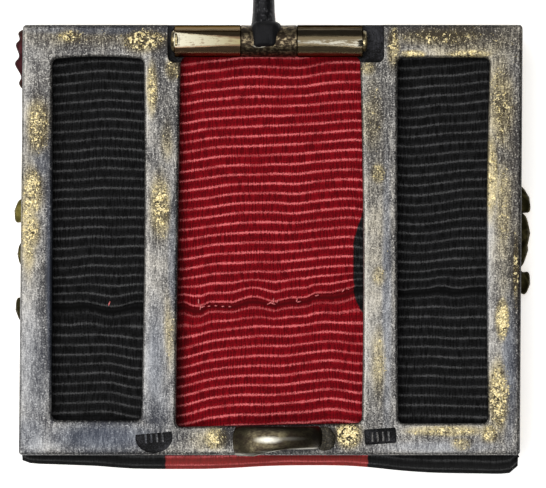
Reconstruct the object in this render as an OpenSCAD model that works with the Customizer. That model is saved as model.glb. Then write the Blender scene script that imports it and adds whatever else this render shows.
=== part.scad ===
// Service badge, lying face down as it is laid on a table.
// A gilt silver back frame with three windows, a tube hinge, a steel dress pin and a C catch
// lies over a folded ribbon. The front frame, the oak wreath and the numerals are underneath.
// +Z is the back of the badge, +Y its top edge, +X the right side seen from the back.
// The origin is on the front face of the numerals, which the badge rests on.

/* [Back frame] */
// Width of both frames
frame_w = 36; // [35:0.5:37]
// Height of both frames
frame_h = 31; // [30:0.5:32]
// Width of the outer stiles and rails
rim_w = 2.3; // [2.1:0.1:2.4]
// Width of the two upright bars
bar_w = 2.55; // [2.4:0.05:2.8]
// Width of each side window
side_window_w = 6.6; // [6.4:0.1:6.8]
// Thickness of the back frame
back_t = 1.1; // [1:0.1:1.4]
// Radius of the window corners
window_r = 0.25; // [0.15:0.05:0.4]

/* [Hinge] */
// Outer radius of the hinge tube
tube_r = 1.15; // [1.05:0.05:1.2]
// Radius of the rod in the tube
rod_r = 0.5; // [0.4:0.05:0.6]
// Radial play of the pin's knuckle on the rod
running_gap = 0.04; // [0.02:0.01:0.08]
// Depth of the recess that the tube is soldered in
recess_d = 0.7; // [0.6:0.05:0.8]

/* [Dress pin] */
// Length from the hinge to the point
pin_l = 30; // [29:0.5:31]
// Radius of the straight part of the pin
pin_r = 0.55; // [0.45:0.05:0.6]
// Radius of the thick root
root_r = 0.86; // [0.75:0.01:0.95]

/* [Catch] */
// Height of the hook over the back frame
catch_h = 2.3; // [2.1:0.1:2.5]
// Thickness of the hook's strip
catch_t = 0.5; // [0.4:0.05:0.6]

/* [Ribbon] */
// Thickness of each ribbon wall
cloth_t = 1; // [1:0.05:1.2]
// Slit between the two walls of the folded ribbon
cloth_slit = 0.3; // [0.2:0.05:0.5]
// Width of the ribbon
cloth_w = 35.8; // [35:0.1:36]

/* [Front] */
// Thickness of the front frame
front_t = 0.8; // [0.7:0.05:1]
// Height of the wreath and the numerals in front of the front frame
relief_h = 1.4; // [1.3:0.1:1.6]
// Length of an oak leaf
leaf_l = 6.6; // [6:0.1:7]
// Width of an oak leaf
leaf_w = 3.7; // [3.4:0.1:3.9]
// Height of the numerals
numeral_h = 8.6; // [8:0.1:9]

/* [Hidden] */
$fn = 48;

// Gap between one layer and the next
layer_gap = 0.05;
// Amount that a cutting shape runs past the face it cuts
past = 0.2;

// Heights of the layers, from the surface that the badge lies on
front_z = relief_h;
cloth_z = front_z + front_t + layer_gap;
cloth_top = cloth_z + 2 * cloth_t + cloth_slit;
back_z = cloth_top + layer_gap;
back_top = back_z + back_t;

// The windows, one row each: [centre x, width, bottom y, top y, rise of the bowed top edge]
mid_window_w = frame_w - 2 * (rim_w + bar_w + side_window_w);
side_window_x = frame_w / 2 - rim_w - side_window_w / 2;
window_top = frame_h / 2 - rim_w;
WINDOWS = [[-side_window_x, side_window_w, 2.55 - frame_h / 2, window_top - 0.15, 0.3],
           [0, mid_window_w, 2.1 - frame_h / 2, window_top, 0.05],
           [side_window_x, side_window_w, 2.3 - frame_h / 2, window_top, 0.05]];

// The hinge: its axis, and where the pin's knuckle stands between the two soldered ones
hinge_y = frame_h / 2 - 1.2;
// The tube is sunk this far into its solder
tube_sink = 0.1;
hinge_z = back_top - recess_d + tube_r - tube_sink;
tube_l = 13.65;
knuckle_x = [-2.05, 1.9];
knuckle_gap = 0.09;
recess_x = [-7.35, 8.2];
recess_y = frame_h / 2 - 2.7;
rod_head_r = 0.75;
rod_head_l = 0.2;

// The pin lies open, and its point droops to the surface under the badge
pin_x = -0.45;
tip_r = 0.1;
taper_start = 24;
droop = asin((hinge_z - tip_r) / pin_l);
// The shaft behind the root, one row each: [distance from the hinge, radius]
SHAFT = [[0.7, 1.08], [1.35, root_r], [3, 0.9 * root_r], [7, pin_r], [taper_start, pin_r],
         [pin_l, tip_r]];

// The catch: a strip bent into an arch, with its free end towards -X
catch_x = 0.4;
catch_half = 3.4;
catch_end = 155;
// Plan of the strip: [y of the lower edge, y of the upper edge] at the free end and the foot
catch_free_y = [-15.3, -13.5];
catch_foot_y = [-14.8, -13.5];
foot_l = 0.9;
foot_t = 0.4;

// The numerals, whose serifs overlap a little from one letter to the next
thick_stroke = 1.4;
thin_stroke = 0.8;
letter_pitch = 5.1;
serif_h = 0.8;
serif_w = 2;
serif_overlap = 0.1;
// Distance from a letter's middle to the middle of its serifs
letter_half = (letter_pitch + serif_overlap - serif_w) / 2;

// Posts behind the front frame and the numerals, which hold the layers together
post_r = 0.6;
post_gap = 0.1;
post_depth = 0.5;
FRAME_POSTS = [for (sx = [-1, 1], sy = [-1, 1]) [sx * (frame_w - rim_w) / 2, 9.5 * sy]];
numeral_post_r = 0.4;
numeral_post_x = 7.25;
numeral_post_y = (numeral_h - serif_h) / 2;
NUMERAL_POSTS = [[-numeral_post_x, numeral_post_y], [numeral_post_x, numeral_post_y],
                 [numeral_post_x, -numeral_post_y]];

// The folded ribbon at sections across the badge: [x as a share of half its width, y of the
// lower fold, y of the seam]
CLOTH_SECTIONS = [[-1, -16.0, -4.4], [-0.97, -16.1, -4.4], [-0.42, -16.5, -4.6],
                  [-0.3, -16.5, -5.2], [0.06, -16.2, -4.5], [0.38, -16.2, -3.9],
                  [0.6, -16.6, -3.4], [0.88, -16.9, -3.2], [0.97, -16.8, -3.1],
                  [1, -16.6, -3.1]];
cloth_top_y = 14.9;
seam_w = 0.5;
seam_d = 0.2;
fold_steps = 6;

// Half of an oak leaf, from its base to its last lobe: [share of length, share of half width]
LEAF = [[0, 0.16], [0.2, 0.74], [0.32, 0.5], [0.47, 1], [0.59, 0.62], [0.74, 0.82],
        [0.85, 0.5]];
// Relief of a leaf: [share of the full width, height]
LEAF_STEPS = [[1, 0.5], [0.3, 0.9]];

// The wreath's centre line is an oval that fills the frame, with a branch up each side
ring_a = 13.9;
ring_b = 10.9;
ring_power = 2.8;
ring_w = 1.2;
ring_t = 0.55;
branch_start = 15;
// Outer leaves from the tie upward: [share of the way up the branch, share of full length, turn]
OUTER_LEAVES = [[0.02, 0.85, 40], [0.12, 0.85, 40], [0.22, 0.9, 42], [0.32, 0.8, 46],
                [0.415, 0.68, 58], [0.5, 0.7, 58], [0.59, 0.8, 44], [0.69, 0.82, 40],
                [0.79, 0.84, 42], [0.89, 0.8, 46]];
// Leaves in the corners, and then those that show past the frame: [base x, base y, heading,
// share of full length]
EDGE_LEAVES = [[-13.4, 9.8, 146, 0.75], [13.1, 9.8, 32, 0.78], [-12.6, -9.2, 184, 0.78],
               [12.4, -9.2, -12, 0.78], [-17.08, 10.05, 92, 0.82], [-14.15, 1.4, 170, 0.68],
               [-14.07, -0.95, 181, 0.65], [-14.05, -4.45, 188, 0.68], [-16.72, -4.12, 267, 0.8],
               [13.85, 1.38, 19, 0.8], [11.45, 0.5, 0, 1.13], [11.8, 0, -6, 1.06],
               [14.6, -2.5, -9, 0.66]];
inner_count = 6;
inner_first = 0.3;
inner_turn = 42;
inner_scale = 0.8;
// The second row of leaves, raised until its midribs are level with the numerals
top_count = 6;
top_first = 0.1;
top_scale = 0.92;
top_lift = relief_h - layer_gap - LEAF_STEPS[1][1];
// Acorns between the inner leaves: [share of the way up the branch]
ACORNS = [0.2, 0.48, 0.76];
acorn_r = 0.72;
acorn_l = 2.1;
acorn_z = 0.5;
acorn_turn = 75;
cup_r = 0.83;
cup_l = 0.75;
cup_taper = 0.15;

// The tie and the small clasp that join the branches, and the pegs behind them
tie_w = 3;
tie_y = 2.5;
peg_r = 0.4;
PEGS = [for (sx = [-0.75, 0.75], sy = [-1, 1]) [sx, sy * (frame_h - rim_w) / 2]];

// Line cut round the front frame: distance from the edge, width and depth
line_in = 0.6;
line_w = 0.35;
line_d = 0.25;

function arc(cx, cy, r, from, to, steps) =
    [for (i = [0:steps]) let (a = from + (to - from) * i / steps)
        [cx + r * cos(a), cy + r * sin(a)]];

// Outline of a window: round corners and a top edge that bows upward
function window_outline(x, w, y0, y1, bow) =
    let (h = w / 2, r = window_r)
    concat(arc(x - h + r, y0 + r, r, 180, 270, 4), arc(x + h - r, y0 + r, r, 270, 360, 4),
           arc(x + h - r, y1 - r, r, 0, 90, 4),
           [for (i = [1:7]) let (u = 1 - i / 4) [x + u * (h - r), y1 + bow * (1 - u * u)]],
           arc(x - h + r, y1 - r, r, 90, 180, 4));

function knuckle_spans() =
    [[-tube_l / 2, knuckle_x[0] - knuckle_gap], [knuckle_x[1] + knuckle_gap, tube_l / 2]];

module along_hinge(x) translate([x, hinge_y, hinge_z]) rotate([0, 90, 0]) children();

module posts(places, r, z0, z1)
    for (p = places) translate([p[0], p[1], z0]) cylinder(r = r, h = z1 - z0);

module back_plate() {
    difference() {
        translate([-frame_w / 2, -frame_h / 2, back_z]) cube([frame_w, frame_h, back_t]);
        for (w = WINDOWS)
            translate([0, 0, back_z - past]) linear_extrude(back_t + 2 * past)
                polygon(window_outline(w[0], w[1], w[2], w[3], w[4]));
        // Milled bed of the hinge tube
        translate([recess_x[0], recess_y, back_top - recess_d])
            cube([recess_x[1] - recess_x[0], frame_h / 2 - recess_y + past, recess_d + past]);
        // Notch in which the pin's knuckle turns
        translate([knuckle_x[0] - knuckle_gap, recess_y, back_z - past])
            cube([knuckle_x[1] - knuckle_x[0] + 2 * knuckle_gap, frame_h / 2 - recess_y + past,
                  back_t + past]);
        posts(FRAME_POSTS, post_r, back_z - past, back_z + post_depth);
        posts(NUMERAL_POSTS, numeral_post_r, back_z - past, back_z + post_depth);
    }
}

module outer_knuckles() {
    for (span = knuckle_spans())
        along_hinge(span[0]) cylinder(r = tube_r, h = span[1] - span[0]);
}

function catch_arc(inset) =
    [for (i = [0:14]) let (a = catch_end * i / 14)
        [catch_x + (catch_half - inset) * cos(a), (catch_h - inset) * sin(a)]];

// The arch of the catch, cut to a plan that narrows towards its foot
module catch_hook() {
    outer = catch_arc(0);
    inner = catch_arc(catch_t);
    count = len(inner);
    left = catch_x - catch_half;
    right = catch_x + catch_half + foot_l;
    round_r = (catch_free_y[1] - catch_free_y[0]) / 2;
    intersection() {
        translate([0, catch_free_y[1], back_top]) rotate([90, 0, 0])
            linear_extrude(catch_free_y[1] - catch_free_y[0])
                polygon(concat(outer, [for (i = [1:count]) inner[count - i]]));
        translate([0, 0, back_top - past]) linear_extrude(catch_h + 2 * past)
            polygon(concat([[right, catch_foot_y[0]], [right, catch_foot_y[1]]],
                           arc(left + round_r, catch_free_y[0] + round_r, round_r, 90, 270, 8)));
    }
    // Soldered foot
    translate([catch_x + catch_half - 2 * catch_t, catch_foot_y[0], back_top - past])
        cube([foot_l + 2 * catch_t, catch_foot_y[1] - catch_foot_y[0], foot_t + past]);
}

module back_frame() {
    color("silver") difference() {
        union() {
            back_plate();
            outer_knuckles();
            catch_hook();
        }
        along_hinge(-tube_l / 2 - past) cylinder(r = rod_r, h = tube_l + 2 * past);
    }
}

module hinge_rod() {
    color("goldenrod") {
        along_hinge(-tube_l / 2 - rod_head_l) cylinder(r = rod_r, h = tube_l + 2 * rod_head_l);
        along_hinge(-tube_l / 2 - rod_head_l) cylinder(r = rod_head_r, h = rod_head_l);
        along_hinge(tube_l / 2) cylinder(r = rod_head_r, h = rod_head_l);
    }
}

module dress_pin() {
    color("dimgray") difference() {
        union() {
            along_hinge(knuckle_x[0]) cylinder(r = tube_r, h = knuckle_x[1] - knuckle_x[0]);
            translate([pin_x, hinge_y, hinge_z]) rotate([-90 - droop, 0, 0])
                for (i = [0:len(SHAFT) - 2])
                    translate([0, 0, SHAFT[i][0]])
                        cylinder(r1 = SHAFT[i][1], r2 = SHAFT[i + 1][1],
                                 h = SHAFT[i + 1][0] - SHAFT[i][0]);
        }
        along_hinge(knuckle_x[0] - past)
            cylinder(r = rod_r + running_gap, h = knuckle_x[1] - knuckle_x[0] + 2 * past);
    }
}

// One closed loop of the folded ribbon, as [y, z] points. The seam is a groove in the back wall.
function cloth_loop(fold_y, seam_y, inset) =
    let (r = cloth_t + cloth_slit / 2 - inset, zc = cloth_z + cloth_t + cloth_slit / 2,
         low = fold_y + cloth_t + cloth_slit / 2, high = cloth_top_y - cloth_t - cloth_slit / 2,
         dip = inset == 0 ? seam_d : 0)
    concat([for (i = [0:fold_steps]) let (a = 90 + 180 * i / fold_steps)
               [low + r * cos(a), zc + r * sin(a)]],
           [for (i = [0:fold_steps]) let (a = -90 + 180 * i / fold_steps)
               [high + r * cos(a), zc + r * sin(a)]],
           [[seam_y + seam_w / 2, zc + r], [seam_y, zc + r - dip], [seam_y - seam_w / 2, zc + r]]);

// A ring of cloth swept from one section to the next: outer and inner loops, closed at the ends
module ribbon() {
    loops = [for (s = CLOTH_SECTIONS) for (inset = [0, cloth_t])
                [for (p = cloth_loop(s[1], s[2], inset)) [s[0] * cloth_w / 2, p[0], p[1]]]];
    n = len(loops[0]);
    last = len(loops) - 2;
    sides = [for (k = [0:last - 1]) let (turn = k % 2, a = k * n, b = (k + 2) * n)
                for (i = [0:n - 1]) let (j = (i + 1) % n)
                    turn == 0 ? [a + i, b + i, b + j, a + j] : [a + i, a + j, b + j, b + i]];
    ends = [for (i = [0:n - 1]) let (j = (i + 1) % n)
               for (side = [0, 1]) let (a = side * last * n, b = a + n)
                   side == 0 ? [a + i, a + j, b + j, b + i] : [a + i, b + i, b + j, a + j]];
    color("firebrick") difference() {
        polyhedron([for (l = loops) for (p = l) p], concat(sides, ends));
        posts(FRAME_POSTS, post_r + post_gap, cloth_z - past, cloth_top + past);
        posts(NUMERAL_POSTS, numeral_post_r + post_gap, cloth_z - past, cloth_top + past);
    }
}

// Drawn with its front up, then laid face down on the front frame
module face_down() translate([0, 0, front_z]) mirror([0, 0, 1]) children();

module border(w, h, band, z0, z1) {
    difference() {
        translate([-w / 2, -h / 2, z0]) cube([w, h, z1 - z0]);
        translate([band - w / 2, band - h / 2, z0 - past])
            cube([w - 2 * band, h - 2 * band, z1 - z0 + 2 * past]);
    }
}

// Plain border with a line cut round its front, under the wreath
module front_frame() {
    color("gold") difference() {
        union() {
            border(frame_w, frame_h, rim_w, front_z, front_z + front_t);
            posts(FRAME_POSTS, post_r, front_z + past, back_z + post_depth);
        }
        border(frame_w - 2 * line_in, frame_h - 2 * line_in, line_w, front_z - past,
               front_z + line_d);
        posts(PEGS, peg_r, front_z - past, front_z + front_t + past);
    }
}

function ring_point(a) =
    let (c = cos(a), s = sin(a),
         k = pow(pow(abs(c) / ring_a, ring_power) + pow(abs(s) / ring_b, ring_power),
                 -1 / ring_power))
    [k * c, k * s];

// Place on a branch and its direction: side is -1 or 1, u runs from the tie (0) to the top (1)
function branch_angle(u) = -90 + branch_start + u * (180 - 2 * branch_start);
function branch_point(side, u) = let (p = ring_point(branch_angle(u))) [side * p[0], p[1]];
function branch_heading(side, u) =
    let (d = branch_point(side, u + 0.01) - branch_point(side, u - 0.01)) atan2(d[1], d[0]);

// A lobed leaf, its base at the origin and its tip along +X. slim narrows it to its midrib.
module leaf_outline(size, slim) {
    n = len(LEAF);
    l = leaf_l * size;
    h = leaf_w * size * slim / 2;
    polygon(concat([for (s = LEAF) [s[0] * l, s[1] * h]], [[l, 0]],
                   [for (i = [1:n]) [LEAF[n - i][0] * l, -LEAF[n - i][1] * h]]));
}

// A leaf on a branch, turned from the branch's heading towards the outside
module branch_leaf(side, u, turn, size, slim) {
    p = branch_point(side, u);
    translate(p) rotate(branch_heading(side, u) - side * turn) leaf_outline(size, slim);
}

module side_leaves(slim) {
    for (side = [-1, 1]) {
        for (row = OUTER_LEAVES)
            branch_leaf(side, row[0], row[2], row[1], slim);
        for (k = [0:inner_count - 1])
            branch_leaf(side, (k + inner_first) / inner_count, -inner_turn, inner_scale, slim);
    }
}

module edge_leaves(slim) {
    for (row = EDGE_LEAVES)
        translate([row[0], row[1]]) rotate(row[2]) leaf_outline(row[3], slim);
}

module top_leaves(slim) {
    for (side = [-1, 1], k = [0:top_count - 1])
        branch_leaf(side, (k + top_first) / top_count, 0, top_scale, slim);
}

module acorn() {
    rotate([0, 90, 0]) rotate_extrude($fn = 24)
        polygon(concat([[0, 0], [cup_r, cup_taper], [cup_r, cup_l], [acorn_r, cup_l]],
                       arc(0, acorn_l - acorn_r, acorn_r, 0, 90, 5)));
}

module ring_stem() {
    outer = [for (i = [0:59]) ring_point(6 * i) * (1 + ring_w / 2 / ring_b)];
    inner = [for (i = [0:59]) ring_point(6 * i) * (1 - ring_w / 2 / ring_b)];
    linear_extrude(ring_t) difference() {
        polygon(outer);
        polygon(inner);
    }
}

// Two oak branches, tied at the bottom and joined by a clasp at the top. Each leaf rises in
// steps from its edge to its midrib, and a second row of leaves lies over the branches.
module oak_wreath() {
    color("gold") {
        face_down() translate([0, 0, layer_gap]) {
            ring_stem();
            for (step = LEAF_STEPS) {
                linear_extrude(step[1]) {
                    side_leaves(step[0]);
                    edge_leaves(step[0]);
                }
                linear_extrude(top_lift + step[1]) top_leaves(step[0]);
            }
            for (side = [-1, 1], u = ACORNS) {
                p = branch_point(side, u);
                translate([p[0], p[1], acorn_z])
                    rotate([0, 0, branch_heading(side, u) + side * acorn_turn]) acorn();
            }
            for (sy = [-1, 1])
                translate([-tie_w / 2, sy * (frame_h / 2 - tie_y) - tie_y, 0])
                    cube([tie_w, 2 * tie_y, relief_h - layer_gap]);
        }
        posts(PEGS, peg_r, front_z - 2 * past, front_z + front_t);
    }
}

module stroke(from, to, w)
    polygon([[from[0] - w / 2, from[1]], [from[0] + w / 2, from[1]],
             [to[0] + w / 2, to[1]], [to[0] - w / 2, to[1]]]);

module serif(x, y) translate([x - serif_w / 2, y - serif_h / 2]) square([serif_w, serif_h]);

// Letters are drawn as they read from the front
module letter_x() {
    h = numeral_h / 2;
    stroke([letter_half, -h], [-letter_half, h], thick_stroke);
    stroke([-letter_half, -h], [letter_half, h], thin_stroke);
    for (sx = [-1, 1], sy = [-1, 1]) serif(sx * letter_half, sy * (h - serif_h / 2));
}

module letter_v() {
    h = numeral_h / 2;
    stroke([0, -h], [-letter_half, h], thick_stroke);
    stroke([0, -h], [letter_half, h], thin_stroke);
    for (sx = [-1, 1]) serif(sx * letter_half, h - serif_h / 2);
}

// Three flat letters, whose posts pass through the ribbon into the bars of the back frame
module numerals() {
    color("gold") {
        mirror([1, 0, 0]) linear_extrude(cloth_z - layer_gap) {
            translate([-letter_pitch, 0]) letter_x();
            letter_x();
            translate([letter_pitch, 0]) letter_v();
        }
        posts(NUMERAL_POSTS, numeral_post_r, front_z, back_z + post_depth);
    }
}

back_frame();
hinge_rod();
dress_pin();
ribbon();
front_frame();
oak_wreath();
numerals();
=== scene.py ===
import math

import bmesh
import bpy
from mathutils import Matrix, Vector, noise


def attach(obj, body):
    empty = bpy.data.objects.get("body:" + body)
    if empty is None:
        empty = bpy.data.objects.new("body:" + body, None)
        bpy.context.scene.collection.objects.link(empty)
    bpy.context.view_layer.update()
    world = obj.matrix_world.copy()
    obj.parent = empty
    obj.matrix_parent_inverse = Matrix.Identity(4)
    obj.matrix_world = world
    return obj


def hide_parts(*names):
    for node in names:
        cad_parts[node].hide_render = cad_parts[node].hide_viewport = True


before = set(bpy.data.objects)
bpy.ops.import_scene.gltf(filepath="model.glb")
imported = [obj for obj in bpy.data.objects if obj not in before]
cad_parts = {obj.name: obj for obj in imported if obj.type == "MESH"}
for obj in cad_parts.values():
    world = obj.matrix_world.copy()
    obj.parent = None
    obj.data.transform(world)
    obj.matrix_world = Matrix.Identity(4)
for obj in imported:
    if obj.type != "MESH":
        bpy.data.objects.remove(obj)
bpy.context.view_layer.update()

# Camera
# The badge lies face down and is seen from straight above, far enough away to look flat.
MM = 0.001
VIEW_WIDTH = 39.3 * MM
VIEW_MIDDLE = (0.216 * MM, -0.288 * MM)
CAMERA_DISTANCE = 0.5
FRAME_TOP = 5.7 * MM

camera = bpy.data.objects.new("camera", bpy.data.cameras.new("camera"))
bpy.context.scene.collection.objects.link(camera)
camera.data.lens = camera.data.sensor_width * CAMERA_DISTANCE / VIEW_WIDTH
camera.location = (*VIEW_MIDDLE, FRAME_TOP + CAMERA_DISTANCE)
bpy.context.scene.camera = camera


# Floor and studio light
# White paper under a wide soft light that stands overhead, a little to the left.
class Wire:
    """One socket of a finish. Sums and products with other wires or numbers add Math nodes."""

    def __init__(self, finish, socket):
        self.finish = finish
        self.socket = socket

    def math(self, operation, *others):
        return self.finish.node("Math", {"operation": operation}, [self, *others])

    def __add__(self, other):
        return self.math("ADD", other)

    def __sub__(self, other):
        return self.math("SUBTRACT", other)

    def __rsub__(self, other):
        return self.math("MULTIPLY_ADD", -1.0, other)

    def __mul__(self, other):
        return self.math("MULTIPLY", other)

    def __truediv__(self, other):
        return self.math("DIVIDE", other)

    __radd__ = __add__
    __rmul__ = __mul__


class Finish:
    """The material of one kind of surface, with the nodes that make it."""

    def __init__(self, name, **fixed):
        self.material = bpy.data.materials.new(name)
        self.material.use_nodes = True
        self.tree = self.material.node_tree
        self.shader = self.tree.nodes["Principled BSDF"]
        for socket, value in fixed.items():
            self.shader.inputs[socket.replace("_", " ")].default_value = value
        self.place = self.node("TexCoord", output="Object")

    def node(self, kind, settings=(), inputs=(), output=0):
        """Adds a node: its settings first, then a value or a wire for each named socket."""
        node = self.tree.nodes.new("ShaderNode" + kind)
        for name, value in dict(settings).items():
            setattr(node, name, value)
        if isinstance(inputs, list):
            inputs = dict(enumerate(inputs))
        for name, value in dict(inputs).items():
            self.feed(node.inputs[name], value)
        return Wire(self, node.outputs[output])

    def feed(self, socket, value):
        if isinstance(value, Wire):
            self.tree.links.new(value.socket, socket)
        elif hasattr(value, "__len__") and socket.type == "RGBA":
            socket.default_value = (*value[:3], 1)
        else:
            socket.default_value = value

    def part(self, vector, axis):
        return self.node("SeparateXYZ", inputs=[vector], output=axis)

    def stretched(self, vector, *scale):
        return self.node("VectorMath", {"operation": "MULTIPLY"}, [vector, scale])

    def grain(self, vector, size, detail=2, roughness=0.5):
        """Even noise from 0 to 1, whose lumps are this many metres across."""
        return self.node("TexNoise", inputs={"Vector": vector, "Scale": 1 / size,
                                             "Detail": detail, "Roughness": roughness})

    def band(self, value, low, high):
        """0 below low, 1 above high, and smooth between them."""
        return self.node("MapRange", {"interpolation_type": "SMOOTHSTEP"},
                         {"Value": value, "From Min": low, "From Max": high})

    def mix(self, mask, first, second):
        return self.node("Mix", {"data_type": "RGBA"}, {0: mask, 6: first, 7: second}, 2)

    def spots(self, places, rim=1.25, core=0.2):
        """How strongly these ovals, in millimetres, cover a point of the badge's plane. They fade
        from the core to the rim, both as shares of the oval."""
        total = None
        for x, y, across, up, strength in places:
            away = self.node("VectorMath", {"operation": "SUBTRACT"},
                             [self.place, (x * MM, y * MM, 0)])
            away = self.stretched(away, 1 / across / MM, 1 / up / MM, 0)
            away = self.node("VectorMath", {"operation": "LENGTH"}, [away], "Value")
            spot = self.band(away, rim, core) * strength
            total = spot if total is None else total.math("MAXIMUM", spot)
        return total

    def bump(self, height, distance, strength=1.0, under=None):
        """A Bump node for heights from 0 to 1 that stand for this distance in metres."""
        inputs = {"Height": height, "Distance": distance, "Strength": strength}
        if under is not None:
            inputs["Normal"] = under
        return self.node("Bump", inputs=inputs)

    def show(self, **wires):
        for socket, wire in wires.items():
            self.feed(self.shader.inputs[socket.replace("_", " ")], wire)
        return self.material


def start(add, name, **settings):
    """Adds a primitive with nothing else selected, and puts its place in its mesh."""
    bpy.ops.object.select_all(action="DESELECT")
    add(**settings)
    piece = bpy.context.object
    piece.name = piece.data.name = name
    bpy.ops.object.transform_apply(location=True, rotation=True, scale=True)
    return piece


FLOOR_SIZE = 6
FLOOR_DROP = 0.02
PAPER = ((0.9, 0.9, 0.9), (0.93, 0.93, 0.92))
GLOW = 0.5
floor = start(bpy.ops.mesh.primitive_plane_add, "floor", size=FLOOR_SIZE,
              location=(0, 0, -FLOOR_DROP * MM))
paper = Finish("white_paper", Roughness=0.8, Emission_Color=(1, 1, 1, 1), Emission_Strength=GLOW)
fibres = paper.grain(paper.place, 2 * MM, 4)
floor.data.materials.append(paper.show(Base_Color=paper.mix(fibres, *PAPER)))

LAMP_PLACE = Vector((-0.2, 0.02, 0.6))
LAMP_SIZE = (0.8, 0.7)
LAMP_POWER = 6.5
SKY = 0.15
lamp = bpy.data.objects.new("softbox", bpy.data.lights.new("softbox", "AREA"))
bpy.context.scene.collection.objects.link(lamp)
lamp.data.shape = "RECTANGLE"
lamp.data.size, lamp.data.size_y = LAMP_SIZE
lamp.data.energy = LAMP_POWER
lamp.location = LAMP_PLACE
lamp.rotation_euler = LAMP_PLACE.to_track_quat("Z", "Y").to_euler()
world = bpy.data.worlds.new("studio")
bpy.context.scene.world = world
world.use_nodes = True
world.node_tree.nodes["Background"].inputs["Color"].default_value = (SKY, SKY, SKY, 1)
bpy.context.scene.view_settings.view_transform = "Standard"


# Back plate
# A gilt silver plate sawn out to three windows, with filed edges and a milled bed for the
# hinge. The gilding is worn off to grey silver, and two small plain marks are struck in it.
WIDTH = 36
HEIGHT = 31
RIM = 2.3
BACK_LOW = 4.6
BACK_HIGH = 5.7
WINDOW_TOP = HEIGHT / 2 - RIM
# The plate is a little out of square: x and y of the corner on each side and end
PLATE_CORNERS = {(-1, -1): (-18.1, -15.5), (-1, 1): (-17.8, 15.5),
                 (1, -1): (18.0, -15.5), (1, 1): (18.2, 15.5)}
# Windows: [x of the left side at its bottom, middle and top, the same of the right side, bottom
# y, its rise towards the right, top y, rise of the bowed top]
WINDOWS = [((-15.7, -15.65, -15.65), (-9.3, -9.06, -9.1), -12.95, 0, WINDOW_TOP - 0.15, 0.15),
           ((-6.76, -6.6, -6.42), (6.6, 6.7, 6.48), -13.45, 0.28, WINDOW_TOP, 0),
           ((9.25, 9.2, 9.22), (15.7, 15.58, 15.82), -13.2, 0.03, WINDOW_TOP - 0.1, 0)]
WINDOW_ROUND = 0.4
WINDOW_CUTS = 7
EASED = 0.26
SHARP = 35
# Bed of the hinge: [left x, right x, low y], and its gap for the pin's knuckle: [left x, right x]
BED = (-7.35, 8.2, 12.8)
BED_DEPTH = 0.7
BED_FLOOR = BACK_HIGH - BED_DEPTH
BED_ROUND = 0.45
BED_EASED = 0.1
KNUCKLE = (-2.05, 1.9)
KNUCKLE_GAP = 0.09
# How far a cutting shape reaches past what it cuts
PAST = 0.3


def block(name, low, high):
    """A plain block between two corners given in millimetres."""
    low, high = Vector(low) * MM, Vector(high) * MM
    return start(bpy.ops.mesh.primitive_cube_add, name, size=1, location=(low + high) / 2,
                 scale=high - low)


def pick(*pieces):
    """Selects these pieces alone, with the first one active."""
    bpy.ops.object.select_all(action="DESELECT")
    for piece in pieces:
        piece.select_set(True)
    bpy.context.view_layer.objects.active = pieces[0]


def edit(piece):
    pick(piece)
    bpy.ops.object.mode_set(mode="EDIT")
    bpy.ops.mesh.select_all(action="DESELECT")


def done():
    bpy.ops.object.mode_set(mode="OBJECT")


def choose(piece, kind, test):
    """Selects the vertices, edges or faces whose middle, in millimetres, passes the test."""
    bpy.ops.mesh.select_mode(type=kind)
    bpy.ops.mesh.select_all(action="DESELECT")
    mesh = bmesh.from_edit_mesh(piece.data)
    for item in {"VERT": mesh.verts, "EDGE": mesh.edges, "FACE": mesh.faces}[kind]:
        corners = [item] if kind == "VERT" else item.verts
        middle = sum((v.co for v in corners), Vector()) / len(corners) / MM
        item.select_set(bool(test(middle, item)))
    mesh.select_flush_mode()
    bmesh.update_edit_mesh(piece.data)


def finish_with(piece, kind, **settings):
    """Adds a modifier to a piece and applies it."""
    pick(piece)
    modifier = piece.modifiers.new(kind.lower(), kind)
    for name, value in settings.items():
        setattr(modifier, name, value)
    bpy.ops.object.modifier_apply(modifier=modifier.name)


def cut(piece, cutter):
    """Takes the cutter's shape out of a piece."""
    finish_with(piece, "BOOLEAN", operation="DIFFERENCE", object=cutter, solver="EXACT")
    bpy.data.objects.remove(cutter)


def soften(piece, width, segments=2, **settings):
    """Rounds every edge that turns by more than SHARP degrees."""
    finish_with(piece, "BEVEL", width=width * MM, segments=segments, limit_method="ANGLE",
                angle_limit=math.radians(SHARP), **settings)


def smooth(piece, angle=40):
    """Shades a piece smooth, except where it turns by more than the angle in degrees."""
    pick(piece)
    bpy.ops.object.shade_smooth_by_angle(angle=math.radians(angle))


def upright(middle, edge):
    return abs((edge.verts[0].co - edge.verts[1].co).z) > 0.5 * MM


def round_uprights(piece, radius, segments=4):
    """Rounds the upright edges of a block."""
    edit(piece)
    choose(piece, "EDGE", upright)
    bpy.ops.mesh.bevel(offset=radius * MM, segments=segments)
    done()


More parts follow.
